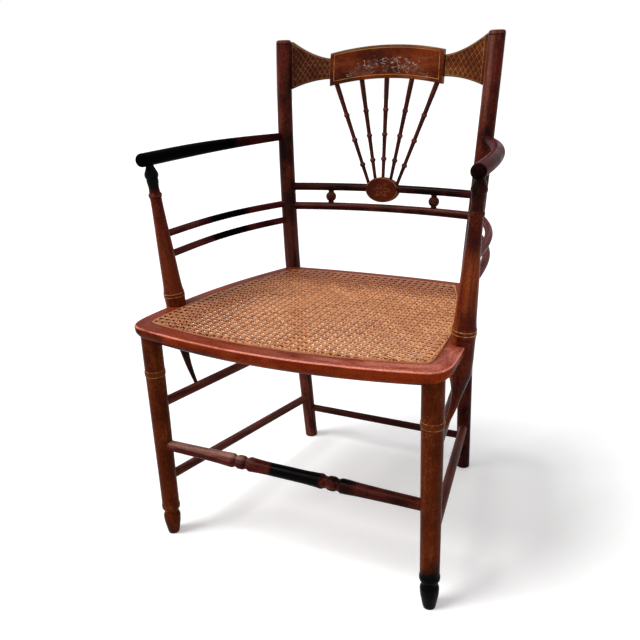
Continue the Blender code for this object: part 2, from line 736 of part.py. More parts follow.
def crest_section(x, low, high, face, thick):
    """Four corners of the crest at one place: front low, front high, back high, back low."""
    corners = ((low, face), (high, face), (high, face + thick), (low, face + thick))
    return [back_point(x, z, depth) for z, depth in corners]


def crest_tablet(name):
    loops = []
    for i in range(17):
        x = TABLET_HALF_WIDTH * (i / 8 - 1)
        low = tablet_edge(x, TABLET_LOW)
        loops.append(crest_section(x, low, low + TABLET_HEIGHT, -TABLET_AHEAD, TABLET_THICK))
    return loft(name, loops)


def wing_edge(x):
    """Lower and upper edge of a wing at a distance from the middle of the chair."""
    post_x = post_axis(1, WING_LOW + WING_WAIST / 2).x - POST_TOP_RADIUS
    share = max(0.0, (x - TABLET_HALF_WIDTH) / (post_x - TABLET_HALF_WIDTH))
    low = WING_LOW - WING_FALL * min(share, 1.0) ** 2
    high = WING_LOW + WING_WAIST + WING_RISE * min(share, 1.0) ** 1.7
    return low, high


def crest_wing(name, side, grow=0.0):
    inner = TABLET_HALF_WIDTH - WING_HOUSING - grow
    outer = post_axis(1, WING_LOW).x
    loops = []
    for i in range(11):
        x = inner + (outer - inner) * i / 10
        low, high = wing_edge(x)
        face = WING_STEP - TABLET_AHEAD - grow
        loops.append(crest_section(side * x, low - grow, high + grow, face, WING_THICK + 2 * grow))
    return loft(name, loops)


def wing_tenon(name, side, grow=0.0):
    outer = post_axis(1, WING_LOW + WING_WAIST / 2).x - TENON_CORE + grow
    inner = outer - POST_TOP_RADIUS * 1.6
    low, high = wing_edge(outer)
    low += WING_TENON_SHOULDER - grow
    high -= WING_TENON_SHOULDER - grow
    face = WING_STEP - TABLET_AHEAD + (WING_THICK - WING_TENON_THICK) / 2 - grow
    thick = WING_TENON_THICK + 2 * grow
    loops = [crest_section(side * x, low, high, face, thick) for x in (inner, outer)]
    return loft(name, loops)


# Stretchers

def front_stretcher(name, grow=0.0):
    half = FRONT_LEG_X - TENON_CORE + grow
    swell = FRONT_STRETCHER_SWELL
    thin = FRONT_STRETCHER_RADIUS
    at = STRETCHER_TURNING_X
    steps = [
        (thin - 0.0006, half),
        (thin, (half + at) * 0.55),
        (swell - 0.0012, at + 0.046),
        (swell - 0.0002, at + 0.024),
        (swell - 0.0004, at + 0.014),
        (thin + 0.0008, at + 0.008),
        (swell - 0.0006, at + 0.003),
        (swell - 0.0006, at - 0.004),
        (thin + 0.0006, at - 0.011),
        (swell, at - 0.018),
        (swell - 0.0003, at - 0.026),
        (thin + 0.0010, at * 0.35),
    ]
    mirrored = [(radius, -x) for radius, x in reversed(steps)]
    piece = turned(name, [(radius + grow, x) for radius, x in steps + mirrored], 14)
    piece.rotation_euler = (0, math.pi / 2, 0)
    piece.location = (0, FRONT_LEG_Y, FRONT_STRETCHER_HEIGHT)
    return piece


def side_stretcher(name, side, front_z, rear_z, grow=0.0):
    start, end = trimmed(*side_stretcher_ends(side, front_z, rear_z))
    along = (end - start).normalized() * grow
    return rod(name, start - along, end + along, SIDE_STRETCHER_RADIUS + grow)


def back_stretcher(name, grow=0.0):
    left = post_axis(-1, BACK_STRETCHER_HEIGHT)
    right = post_axis(1, BACK_STRETCHER_HEIGHT)
    start, end = trimmed(left, right)
    along = Vector((grow, 0, 0))
    return rod(name, start - along, end + along, BACK_STRETCHER_RADIUS + grow)


# Which function makes each piece that enters another one
inserted = {"front_stretcher": front_stretcher, "back_stretcher": back_stretcher, "back_rail_lower": back_rail_lower}
for label, side in SIDES:
    inserted["rear_post_" + label] = partial(rear_post, side=side)
    inserted["front_leg_" + label] = partial(front_leg, side=side)
    inserted["arm_post_" + label] = partial(arm_post, side=side)
    inserted["arm_" + label] = partial(arm, side=side)
    inserted["arm_rail_upper_" + label] = partial(
        arm_rail, side=side, rear_z=ARM_RAIL_UPPER_REAR, front_z=ARM_RAIL_UPPER_FRONT)
    inserted["arm_rail_lower_" + label] = partial(
        arm_rail, side=side, rear_z=ARM_RAIL_LOWER_REAR, front_z=ARM_RAIL_LOWER_FRONT)
    inserted["back_rail_upper_" + label] = partial(back_rail_upper, side=side)
    inserted["back_ball_" + label] = partial(back_ball, side=side)
    inserted["crest_wing_" + label] = partial(crest_wing, side=side)
    inserted["side_stretcher_upper_" + label] = partial(
        side_stretcher, side=side, front_z=SIDE_UPPER_FRONT, rear_z=SIDE_UPPER_REAR)
    inserted["side_stretcher_lower_" + label] = partial(
        side_stretcher, side=side, front_z=SIDE_LOWER_FRONT, rear_z=SIDE_LOWER_REAR)
spindles = ["fan_spindle_%d" % (index + 1) for index in range(SPINDLE_COUNT)]
for index, name in enumerate(spindles):
    inserted[name] = partial(fan_spindle, index=index)

made = {name: build(name) for name, build in inserted.items()}
made["cane_panel"] = cane_panel("cane_panel")
made["back_medallion"] = back_medallion("back_medallion")
made["crest_tablet"] = crest_tablet("crest_tablet")

# Seat rails: each keeps its own share of one ring
half_gap = CLEARANCE / 2
corner_x = post_axis(1, SEAT_HEIGHT).x - POST_SEAT_RADIUS * 0.65
corner_y = max(p.y for p in seat_loop(RAIL_SHOW + CANE_LAP) if abs(p.x) > corner_x - RAIL_SHOW / 2)
front_block = seat_region("front_share", (-1, -1), (1, SIDE_JOINT_Y - half_gap))
back_block = seat_region("back_share", (-corner_x + half_gap, corner_y + half_gap), (corner_x - half_gap, 1))
back_space = seat_region("back_space", (-corner_x - half_gap, corner_y - half_gap), (corner_x + half_gap, 1))
made["seat_front_rail"] = seat_rail("seat_front_rail", front_block)
made["seat_back_rail"] = seat_rail("seat_back_rail", back_block)
for label, side in SIDES:
    edges = sorted((side * corner_x * 0.5, side * 1.0))
    block = seat_region("side_share_" + label, (edges[0], SIDE_JOINT_Y + half_gap), (edges[1], 1))
    made["seat_side_rail_" + label] = seat_rail("seat_side_rail_" + label, block)
    combine(made["seat_side_rail_" + label], back_space, "DIFFERENCE")

# Cane binding: one strip in front of the arm posts and one behind them
for label, ends in (("front", (-1, ARM_POST_Y - half_gap)), ("back", (ARM_POST_Y + half_gap, 1))):
    made["cane_binding_" + label] = cane_binding("cane_binding_" + label)
    block = seat_region("binding_share_" + label, (-1, ends[0]), (1, ends[1]))
    combine(made["cane_binding_" + label], block, "INTERSECT")

# Sockets: each is cut by the piece that enters it, grown by the clearance
grown = {}


def socket(holder, *names):
    for name in names:
        if name not in grown:
            grown[name] = inserted[name](name + "_socket", grow=CLEARANCE)
        combine(made[holder], grown[name], "DIFFERENCE")


def tenon(rail, receiver, name, shape, side):
    """A tenon grown out of one piece, and its mortise in the other."""
    combine(made[rail], shape(name, side), "UNION")
    mortise = shape(name + "_socket", side, CLEARANCE)
    combine(made[receiver], mortise, "DIFFERENCE")
    return mortise


for label, side in SIDES:
    post = "rear_post_" + label
    leg = "front_leg_" + label
    arm_support = "arm_post_" + label
    side_rail = "seat_side_rail_" + label
    wing = "crest_wing_" + label
    upper = "side_stretcher_upper_" + label
    lower = "side_stretcher_lower_" + label
    arm_rails = ("arm_rail_upper_" + label, "arm_rail_lower_" + label)
    half_rail = "back_rail_upper_" + label
    ball = "back_ball_" + label
    socket(post, half_rail, "back_rail_lower", "arm_" + label, *arm_rails, upper, lower, "back_stretcher")
    socket(leg, "front_stretcher", upper, lower)
    socket("seat_front_rail", leg)
    socket(arm_support, *arm_rails)
    socket("arm_" + label, arm_support)
    socket(upper, arm_support)
    socket("cane_panel", arm_support)
    socket("cane_binding_front", arm_support)
    socket("cane_binding_back", arm_support)
    socket(side_rail, post, arm_support)
    socket("seat_back_rail", post)
    socket(wing, post)
    socket("crest_tablet", wing)
    socket("back_medallion", half_rail)
    socket(half_rail, ball)
    socket("back_rail_lower", ball)
    tenon(side_rail, post, "side_tenon_rear_" + label, side_tenon_rear, side)
    tenon(side_rail, "seat_front_rail", "side_tenon_front_" + label, side_tenon_front, side)
    mortise = tenon("seat_back_rail", post, "back_tenon_" + label, back_tenon, side)
    combine(made[side_rail], mortise, "DIFFERENCE")
    tenon(wing, post, "wing_tenon_" + label, wing_tenon, side)
socket("crest_tablet", *spindles)
socket("back_medallion", *spindles)
combine(made["cane_panel"], cane_holes("cane_holes"), "DIFFERENCE")


# Finish and placing

def paint(piece, colour, roughness):
    finish = bpy.data.materials.new(piece.name)
    finish.use_nodes = True
    shader = finish.node_tree.nodes["Principled BSDF"]
    shader.inputs["Base Color"].default_value = colour
    shader.inputs["Roughness"].default_value = roughness
    shader.inputs["Metallic"].default_value = 0.0
    piece.data.materials.clear()
    piece.data.materials.append(finish)


for name, piece in made.items():
    tools.objects.unlink(piece)
    parts.objects.link(piece)
    if name.startswith("cane"):
        paint(piece, CANE, 0.55)
    elif name.startswith("seat"):
        paint(piece, RED_LACQUER, 0.30)
    elif name.startswith(("front_leg", "arm_post")):
        paint(piece, BROWN_LACQUER, 0.32)
    else:
        paint(piece, DARK_LACQUER, 0.32)
for tool in tools.objects:
    tool.hide_render = True
    tool.display_type = "WIRE"

# The chair stands over the origin: bottom centre of its box
bpy.context.view_layer.update()
corners = [piece.matrix_world @ Vector(corner) for piece in made.values() for corner in piece.bound_box]
root.location.x = -(min(c.x for c in corners) + max(c.x for c in corners)) / 2
root.location.y = -(min(c.y for c in corners) + max(c.y for c in corners)) / 2
bpy.context.view_layer.update()
print("pieces", len(made), "moved by", tuple(round(value, 5) for value in root.location))
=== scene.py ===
import math
import random

import bpy
import numpy as np
from mathutils import Matrix, Vector
from mathutils.geometry import interpolate_bezier


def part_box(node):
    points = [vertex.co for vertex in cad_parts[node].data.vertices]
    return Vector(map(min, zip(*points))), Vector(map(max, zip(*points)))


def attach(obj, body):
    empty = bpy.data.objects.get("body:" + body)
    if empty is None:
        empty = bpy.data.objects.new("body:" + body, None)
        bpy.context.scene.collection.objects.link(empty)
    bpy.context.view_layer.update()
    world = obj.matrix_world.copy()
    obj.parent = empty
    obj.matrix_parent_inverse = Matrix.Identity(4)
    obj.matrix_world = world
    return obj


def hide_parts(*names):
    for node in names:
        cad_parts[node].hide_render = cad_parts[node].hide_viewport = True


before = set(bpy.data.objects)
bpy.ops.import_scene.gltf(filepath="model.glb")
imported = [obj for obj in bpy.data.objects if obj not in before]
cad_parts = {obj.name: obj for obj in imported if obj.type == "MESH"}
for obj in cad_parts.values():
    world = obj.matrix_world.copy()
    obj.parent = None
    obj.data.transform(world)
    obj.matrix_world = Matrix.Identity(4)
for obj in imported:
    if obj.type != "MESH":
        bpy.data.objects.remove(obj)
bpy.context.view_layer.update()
print("frame loaded")

# Lines of the chair that several pieces share, in metres from the floor
chair = {
    "height": 0.899,
    "seat": 0.4345,
    "seatThick": 0.026,
    "postFoot": (0.188, 0.230),
    "postSeat": (0.1935, 0.1895),
    "postTop": (0.2200, 0.2420),
    "postBend": 0.006,
    "postBow": (0.0027, -0.0038),
    "legX": 0.2605,
    "legY": -0.226,
    "backBow": 0.0275,
    "upperRail": 0.6055,
    "lowerRail": 0.5650,
    "flats": 44,  # round a thick round piece
}
sides = (("left", -1), ("right", 1))
random.seed(7)
legLow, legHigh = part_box("front_leg_right")
backShift = (legLow.y + legHigh.y) / 2 - chair["legY"]  # the frame is centred on the chair's box
pieceCount = 0


# Colours and paints

def tint(red, green, blue):
    # a colour as seen in the photo, made linear
    steps = []
    for value in (red, green, blue):
        share = value / 255
        steps.append(share / 12.92 if share < 0.04045 else ((share + 0.055) / 1.055) ** 2.4)
    return (*steps, 1.0)


def newPaint(name):
    paint = bpy.data.materials.new(name)
    paint.use_nodes = True
    tree = paint.node_tree
    return paint, tree, tree.nodes["Principled BSDF"]


def fill(tree, node, values):
    # numbers and colours are set on the node's sockets, other values are linked to them
    for key, value in values.items():
        if isinstance(value, (int, float, tuple)):
            node.inputs[key].default_value = value
        else:
            tree.links.new(value, node.inputs[key])


def coat(tree, surface, colour, gloss, shine):
    fill(tree, surface, {"Base Color": colour, "Roughness": gloss, "Specular IOR Level": shine})


def readMark(tree, mark, output="Fac"):
    node = tree.nodes.new("ShaderNodeAttribute")
    node.attribute_name = mark
    return node.outputs[output]


def addNoise(tree, vector, stretch, detail, rough):
    place = tree.nodes.new("ShaderNodeMapping")
    fill(tree, place, {"Vector": vector, "Scale": stretch})
    noise = tree.nodes.new("ShaderNodeTexNoise")
    fill(tree, noise, {"Vector": place.outputs["Vector"], "Scale": 1.0})
    fill(tree, noise, {"Detail": detail, "Roughness": rough})
    return noise.outputs["Fac"]


def addRange(tree, value, low, high, toLow=0.0, toHigh=1.0):
    node = tree.nodes.new("ShaderNodeMapRange")
    node.interpolation_type = "SMOOTHSTEP"
    fill(tree, node, {"Value": value, "From Min": low, "From Max": high, "To Min": toLow, "To Max": toHigh})
    return node.outputs["Result"]


def addMath(tree, kind, first, second=0.0):
    node = tree.nodes.new("ShaderNodeMath")
    node.operation = kind
    fill(tree, node, {0: first, 1: second})
    return node.outputs["Value"]


def times(tree, first, second):
    return addMath(tree, "MULTIPLY", first, second)


def addMix(tree, share, first, second, kind="MIX"):
    node = tree.nodes.new("ShaderNodeMix")
    node.data_type = "RGBA"
    node.blend_type = kind
    fill(tree, node, {0: share, 6: first, 7: second})
    return node.outputs[2]


def addBump(tree, surface, height, strength, depth):
    lift = tree.nodes.new("ShaderNodeBump")
    fill(tree, lift, {"Height": height, "Strength": strength, "Distance": depth})
    fill(tree, surface, {"Normal": lift.outputs["Normal"]})


lacquerLook = {
    # noises: repeats in a metre across and along the wood, detail, roughness
    "streak": ((150, 150, 9), 5.0, 0.6),
    "blotch": ((26, 26, 16), 4.0, 0.6),
    "fleck": ((420, 420, 120), 2.0, 0.5),
    "speckle": ((620, 620, 330), 3.0, 0.65),
    "vein": ((95, 95, 60), 2.0, 0.6),
    # where in a noise each thing begins and is full, for some with the two values it gives
    "ground": (0.34, 0.66),
    "rubStreak": (0.48, 0.72),
    "rubBlotch": (0.42, 0.66),
    "wornStreak": (0.34, 0.62, 0.15, 1.0),
    "fleckEdge": (0.66, 0.74),
    "veinEdge": (0.006, 0.022),
    "veinBlotch": (0.42, 0.60),
    "speckleTone": (0.28, 0.72, 0.62, 1.34),
    "ragged": (0.25, 0.75, 0.18, -0.18),
    "blackEdge": (0.12, 0.88),
    "blackStart": (0.0, 0.2),
    "gloss": (0.3, 0.7, 0.22, 0.42),
    "bump": (0.12, 0.0006),
    "old": tint(156, 108, 62),
    "black": tint(4, 3, 3),
}


def makeLacquer(name, tones, rub, flecks, shine, veins=0.0, streaks=None, gilding=None):
    # mottled lacquer: streaks along the wood, rubbed patches, fine flecks and near-black patches; the
    # rubbed tone also paints highlights and the near-black also paints shade, where each piece's marks ask
    # for it
    paint, tree, surface = newPaint(name)
    look = lacquerLook
    ground, deep, worn = (tint(*tone) for tone in tones)
    grain = readMark(tree, "grain", "Vector")
    streak = addNoise(tree, grain, *(streaks or look["streak"]))
    blotch = addNoise(tree, grain, *look["blotch"])
    fleck = addNoise(tree, grain, *look["fleck"])
    colour = addMix(tree, addRange(tree, blotch, *look["ground"]), deep, ground)
    rubbed = addRange(tree, streak, *look["rubStreak"])
    rubbed = times(tree, rubbed, addRange(tree, blotch, *look["rubBlotch"]))
    # rubbed edges and painted highlights, as each piece's marks give them, bring in the rubbed tone
    edge = times(tree, readMark(tree, "wear"), addRange(tree, streak, *look["wornStreak"]))
    rubbed = addMath(tree, "MAXIMUM", times(tree, rubbed, rub), edge)
    colour = addMix(tree, rubbed, colour, worn)
    colour = addMix(tree, addRange(tree, fleck, *look["fleckEdge"], 0.0, flecks), colour, look["old"])
    if veins:
        # thin wandering remains of old gilding
        wander = addNoise(tree, grain, *look["vein"])
        line = addMath(tree, "ABSOLUTE", addMath(tree, "SUBTRACT", wander, 0.5))
        line = addRange(tree, line, *look["veinEdge"], veins, 0.0)
        line = times(tree, line, addRange(tree, blotch, *look["veinBlotch"]))
        colour = addMix(tree, line, colour, look["old"])
    speckle = addNoise(tree, grain, *look["speckle"])
    colour = addMix(tree, 1.0, colour, addRange(tree, speckle, *look["speckleTone"]), "MULTIPLY")
    dark = readMark(tree, "dark")
    ragged = addMath(tree, "ADD", dark, addRange(tree, blotch, *look["ragged"]))
    shade = addRange(tree, ragged, *look["blackEdge"])
    shade = times(tree, shade, addRange(tree, dark, *look["blackStart"]))
    colour = addMix(tree, shade, colour, look["black"])
    if gilding:
        colour = gilding(tree, colour, streak, blotch)
    coat(tree, surface, colour, addRange(tree, blotch, *look["gloss"]), shine)
    addBump(tree, surface, streak, *look["bump"])
    return paint


giltLook = {
    "bright": tint(198, 142, 82), "dull": tint(124, 74, 46), "shine": 0.2,
    "patch": ((160, 160, 160), 3.0, 0.6), "worn": (0.36, 0.62), "gloss": (0.3, 0.7, 0.52, 0.34),
}


def makeGilt(name):
    paint, tree, surface = newPaint(name)
    look = giltLook
    patch = addNoise(tree, readMark(tree, "grain", "Vector"), *look["patch"])
    colour = addMix(tree, addRange(tree, patch, *look["worn"]), look["dull"], look["bright"])
    coat(tree, surface, colour, addRange(tree, patch, *look["gloss"]), look["shine"])
    return paint


def drawLine(tree, away, width, soft=0.75):
    # share of a painted line at a distance from its middle
    return addRange(tree, away, width * 0.35, width * soft, 1.0, 0.0)


def lineNear(tree, value, at, width):
    # a painted line that runs where the value is near a number
    return drawLine(tree, addMath(tree, "ABSOLUTE", addMath(tree, "SUBTRACT", value, at)), width)


def readFlat(tree):
    # the place on a flat face, whole and as its two parts
    flat = readMark(tree, "flat", "Vector")
    split = tree.nodes.new("ShaderNodeSeparateXYZ")
    fill(tree, split, {"Vector": flat})
    return flat, split.outputs["X"], split.outputs["Y"]


borderLook = {"at": 0.0042, "width": 0.0012, "worn": (0.30, 0.62, 0.175, 0.7)}


def borderGilding(tree, colour, streak, blotch):
    # one worn line inside the tablet's edge
    look = borderLook
    line = lineNear(tree, readMark(tree, "border"), look["at"], look["width"])
    line = times(tree, line, addRange(tree, streak, *look["worn"]))
    return addMix(tree, line, colour, giltLook["bright"])


trellisLook = {
    "pitch": 0.0102, "lean": 0.68, "width": 0.0007, "inside": 0.0030, "start": 0.0004, "edge": 0.0005,
    "edgeWidth": 0.0010, "wornBlotch": (0.28, 0.60), "least": 0.4, "wornStreak": (0.34, 0.58, 0.45, 1.1),
}


def trellisGilding(strength):
    # slanting trellis inside a gilt border line
    def gild(tree, colour, streak, blotch):
        look = trellisLook
        border = readMark(tree, "border")
        x, y = readFlat(tree)[1:]
        rise = times(tree, y, look["lean"])
        slants = []
        for kind in ("ADD", "SUBTRACT"):
            away = addMath(tree, "PINGPONG", addMath(tree, kind, x, rise), look["pitch"] / 2)
            slants.append(drawLine(tree, away, look["width"], 0.8))
        inside = addRange(tree, border, look["inside"], look["inside"] + look["start"])
        lines = times(tree, addMath(tree, "MAXIMUM", *slants), inside)
        edge = lineNear(tree, border, look["inside"] - look["edge"], look["edgeWidth"])
        lines = addMath(tree, "MAXIMUM", lines, edge)
        worn = addRange(tree, blotch, *look["wornBlotch"], look["least"] * strength, strength)
        worn = times(tree, worn, addRange(tree, streak, *look["wornStreak"]))
        return addMix(tree, times(tree, lines, worn), colour, giltLook["bright"])
    return gild


rosetteLook = {
    "leaves": 6.0, "wave": 0.14, "reach": 0.36, "width": 0.16, "worn": (0.40, 0.66, 0.0, 0.12),
    "front": (0.0, 0.0005), "rimAt": 0.0024, "rimWidth": 0.0010, "rim": 0.5,
}


def rosetteGilding(tree, colour, streak, blotch):
    # rim line and a worn six-leaf rosette
    look = rosetteLook
    border = readMark(tree, "border")
    flat, x, y = readFlat(tree)
    turn = addMath(tree, "ARCTAN2", y, x)
    wave = addMath(tree, "COSINE", times(tree, turn, look["leaves"]))
    length = tree.nodes.new("ShaderNodeVectorMath")
    length.operation = "LENGTH"
    fill(tree, length, {0: flat})
    reach = addMath(tree, "SUBTRACT", length.outputs["Value"], times(tree, wave, look["wave"]))
    leaf = lineNear(tree, reach, look["reach"], look["width"])
    leaf = times(tree, leaf, addRange(tree, blotch, *look["worn"]))
    leaf = times(tree, leaf, addRange(tree, border, *look["front"]))
    rim = times(tree, lineNear(tree, border, look["rimAt"], look["rimWidth"]), look["rim"])
    return addMix(tree, addMath(tree, "MAXIMUM", leaf, rim), colour, giltLook["bright"])


caneLook = {
    "light": tint(240, 176, 123), "deep": tint(200, 130, 85), "edge": tint(130, 55, 26),
    "fibre": ((2600, 2600, 60), 3.0, 0.6), "stain": ((90, 90, 24), 3.0, 0.6), "stained": (0.32, 0.66),
    "lines": (0.52, 0.72, 0.0, 0.5), "gloss": (0.3, 0.7, 0.36, 0.58), "shine": 0.25, "bump": (0.2, 0.0003),
}


def makeCane(name):
    paint, tree, surface = newPaint(name)
    look = caneLook
    grain = readMark(tree, "grain", "Vector")
    fibre = addNoise(tree, grain, *look["fibre"])
    stain = addNoise(tree, grain, *look["stain"])
    colour = addMix(tree, addRange(tree, stain, *look["stained"]), look["deep"], look["light"])
    colour = addMix(tree, addRange(tree, fibre, *look["lines"]), colour, look["edge"])
    # the tone mark darkens towards the edge colour, for stain and for painted shade on the strands
    colour = addMix(tree, readMark(tree, "tone"), colour, look["edge"])
    coat(tree, surface, colour, addRange(tree, stain, *look["gloss"]), look["shine"])
    addBump(tree, surface, fibre, *look["bump"])
    return paint


sprayColours = {
    "sprayPaint": (tint(134, 102, 86), tint(204, 186, 172)),
    "sprayShade": (tint(44, 20, 14), tint(58, 28, 20)),
    "worn": tint(84, 44, 28), "patch": ((240, 240, 240), 3.0, 0.6), "broad": ((45, 45, 45), 2.0, 0.5),
    "broadEdge": (0.4, 0.6), "wornEdge": (0.42, 0.64), "gloss": (0.3, 0.7, 0.45, 0.65), "shine": 0.3,
}


def makeSprayPaint(name):
    paint, tree, surface = newPaint(name)
    look = sprayColours
    grain = readMark(tree, "grain", "Vector")
    patch = addNoise(tree, grain, *look["patch"])
    broad = addNoise(tree, grain, *look["broad"])
    colour = addMix(tree, addRange(tree, broad, *look["broadEdge"]), *look[name])
    colour = addMix(tree, addRange(tree, patch, *look["wornEdge"]), colour, look["worn"])
    coat(tree, surface, colour, addRange(tree, patch, *look["gloss"]), look["shine"])
    return paint


# Each lacquer's ground, deep and rubbed tones, its shares of rubbed patches and flecks, and its shine; the
# rubbed tone also paints highlights
lacquers = {
    "legLacquer": {
        "tones": ((90, 31, 6), (70, 23, 4), (132, 72, 28)),
        "rub": 0.45, "flecks": 0.32, "shine": 0.025, "veins": 0.18,
    },
    "armPostLacquer": {
        "tones": ((94, 27, 10), (64, 16, 8), (148, 70, 32)),
        "rub": 0.35, "flecks": 0.20, "shine": 0.04, "veins": 0.16,
    },
    "seatLacquer": {
        "tones": ((130, 46, 14), (106, 34, 10), (230, 140, 122)),
        "rub": 0.10, "flecks": 0.12, "shine": 0.010, "streaks": ((70, 70, 16), 5.0, 0.6),
    },
    "darkLacquer": {
        "tones": ((60, 19, 11), (34, 10, 6), (122, 66, 58)),
        "rub": 0.4, "flecks": 0.08, "shine": 0.03,
    },
    "armLacquer": {
        "tones": ((80, 27, 28), (48, 14, 15), (124, 74, 72)),
        "rub": 0.3, "flecks": 0.06, "shine": 0.004,
    },
    "stretcherLacquer": {
        "tones": ((84, 28, 19), (54, 15, 11), (172, 126, 114)),
        "rub": 0.20, "flecks": 0.08, "shine": 0.02,
    },
    "postLacquer": {
        "tones": ((83, 26, 18), (32, 8, 7), (130, 76, 62)),
        "rub": 0.5, "flecks": 0.26, "shine": 0.03, "veins": 0.12,
    },
    "wingLacquerLeft": {
        "tones": ((72, 28, 13), (52, 17, 9), (124, 98, 72)),
        "rub": 0.3, "flecks": 0.10, "shine": 0.05, "gilding": trellisGilding(0.36),
    },
    "wingLacquerRight": {
        "tones": ((101, 46, 17), (77, 31, 12), (132, 100, 66)),
        "rub": 0.3, "flecks": 0.10, "shine": 0.05, "gilding": trellisGilding(0.62),
    },
    "tabletLacquer": {
        "tones": ((112, 45, 18), (76, 27, 12), (138, 104, 70)),
        "rub": 0.40, "flecks": 0.15, "shine": 0.04, "gilding": borderGilding,
    },
    "medallionLacquer": {
        "tones": ((82, 25, 9), (60, 17, 7), (114, 58, 34)),
        "rub": 0.35, "flecks": 0.10, "shine": 0.05, "gilding": rosetteGilding,
    },
}
paints = {name: makeLacquer(name, **values) for name, values in lacquers.items()}
paints["giltLine"] = makeGilt("giltLine")
paints["caneStrand"] = makeCane("caneStrand")
for sprayName in ("sprayPaint", "sprayShade"):
    paints[sprayName] = makeSprayPaint(sprayName)
print("paints made")


# Ways of making a piece

darkWood = "dark_lacquered_wood"
brownWood = "brown_lacquered_wood"
grainStep = np.array((0.731, 0.413, 1.170), dtype=np.float32)  # moves the grain on from piece to piece


def pieceName(node):
    first, *rest = node.split("_")
    return first + "".join(word.title() for word in rest)


def flatten(rings):
    return [tuple(point) for ring in rings for point in ring]


def addPiece(name, verts, faces, coats, nodes, marks, faceSlots=None, sharp=38):
    # marks holds values kept at each point, which the paints read
    global pieceCount
    pieceCount += 1
    mesh = bpy.data.meshes.new(name)
    mesh.from_pydata([(x, y + backShift, z) for x, y, z in verts], [], faces)
    for paintName in coats:
        mesh.materials.append(paints[paintName])
    for mark, values in marks.items():
        values = np.array(values, dtype=np.float32)
        if mark == "grain":
            values = values + grainStep * pieceCount
        kind, field = ("FLOAT_VECTOR", "vector") if values.ndim == 2 else ("FLOAT", "value")
        mesh.attributes.new(mark, kind, "POINT").data.foreach_set(field, values.ravel())
    if faceSlots is not None:
        mesh.polygons.foreach_set("material_index", faceSlots)
    mesh.shade_smooth()
    mesh.set_sharp_from_angle(angle=math.radians(sharp))
    mesh.update()
    piece = bpy.data.objects.new(name, mesh)
    bpy.context.scene.collection.objects.link(piece)
    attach(piece, "root")
    if nodes:
        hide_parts(*nodes)


def skinRings(rings, closeEnds=True):
    # faces over rings of equal counts of points
    count = len(rings[0])
    last = (len(rings) - 1) * count
    faces = []
    for one in range(0, last, count):
        two = one + count
        for k in range(count):
            after = (k + 1) % count
            faces.append((one + k, one + after, two + after, two + k))
    if closeEnds:
        faces.append(tuple(range(count - 1, -1, -1)))
        faces.append(tuple(range(last, last + count)))
    return faces


def runLengths(points):
    # distance along a line at each of its points
    lengths = [0.0]
    for one, two in zip(points, points[1:]):
        lengths.append(lengths[-1] + (two - one).length)
    return lengths


def quarter(count, first=0):
    # sine and cosine at even steps over a quarter turn
    angles = [math.pi / 2 * i / count for i in range(first, count + 1)]
    return [(math.sin(angle), math.cos(angle)) for angle in angles]


def sweepRound(points, radii, lengths, count, level):
    # rings round a line; level rings stay flat, for pieces that stand on the floor
    rings = []
    grain = []
    across = None
    for i, point in enumerate(points):
        before = points[max(i - 1, 0)]
        after = points[min(i + 1, len(points) - 1)]
        ahead = Vector((0, 0, 1)) if level else (after - before).normalized()
        if across is None:
            across = Vector((1, 0, 0)) if abs(ahead.x) < 0.8 else Vector((0, 1, 0))
        across = (across - ahead * across.dot(ahead)).normalized()
        other = ahead.cross(across)
        ring = []
        for k in range(count):
            angle = 2 * math.pi * k / count
            x = radii[i] * math.cos(angle)
            y = radii[i] * math.sin(angle)
            ring.append(point + across * x + other * y)
            grain.append((x, y, lengths[i]))
        rings.append(ring)
    return rings, grain


def fillProfile(steps, each):
    # more (radius, place) steps between the given ones, without overshooting
    full = []
    slopes = [(r1 - r0) / (z1 - z0) for (r0, z0), (r1, z1) in zip(steps, steps[1:])]
    ends = [slopes[0]]
    for one, two in zip(slopes, slopes[1:]):
        ends.append(0.0 if one * two <= 0 else 2 * one * two / (one + two))
    ends.append(slopes[-1])
    for i in range(len(steps) - 1):
        r0, z0 = steps[i]
        r1, z1 = steps[i + 1]
        run = z1 - z0
        for k in range(each):
            t = k / each
            value = (2 * t ** 3 - 3 * t ** 2 + 1) * r0 + (t ** 3 - 2 * t ** 2 + t) * run * ends[i]
            value += (3 * t ** 2 - 2 * t ** 3) * r1 + (t ** 3 - t ** 2) * run * ends[i + 1]
            full.append((value, z0 + run * t))
    full.append(steps[-1])
    return full


def addStops(points, radii, stops):
    # more rings exactly where a gilt line begins and ends
    points = list(points)
    radii = list(radii)
    for stop in sorted(stops, reverse=True):
        along = 0.0
        for i in range(len(points) - 1):
            run = (points[i + 1] - points[i]).length
            if along < stop < along + run:
                share = (stop - along) / run
                points.insert(i + 1, points[i].lerp(points[i + 1], share))
                radii.insert(i + 1, radii[i] + (radii[i + 1] - radii[i]) * share)
                break
            along += run
    return points, radii


def addRound(node, points, radii, paintName, slotName, dark=None, wear=None, bands=(), count=chair["flats"],
             level=False):
    # a round piece; bands are the stretches of its length that carry a gilt line
    points, radii = addStops(points, radii, [stop for band in bands for stop in band])
    lengths = runLengths(points)
    rings, grain = sweepRound(points, radii, lengths, count, level)
    verts = flatten(rings)
    faces = skinRings(rings)
    marks = {"grain": grain}
    for mark, rule in (("dark", dark), ("wear", wear)):
        if rule:
            marks[mark] = [rule(*point) for point in verts]
    slots = np.zeros(len(faces), dtype=np.int32)
    for start, end in bands:
        for i in range(len(rings) - 1):
            if start < (lengths[i] + lengths[i + 1]) / 2 < end:
                slots[i * count:(i + 1) * count] = 1
    addPiece(pieceName(node), verts, faces, [paintName, "giltLine"], [node], marks, slots)


def addTurned(node, foot, head, steps, paintName, slotName, each, **more):
    # a turned piece on a straight line, from steps of (radius, distance from the foot)
    ahead = (head - foot).normalized()
    full = fillProfile(steps, each)
    points = [foot + ahead * z for radius, z in full]
    addRound(node, points, [radius for radius, z in full], paintName, slotName, **more)
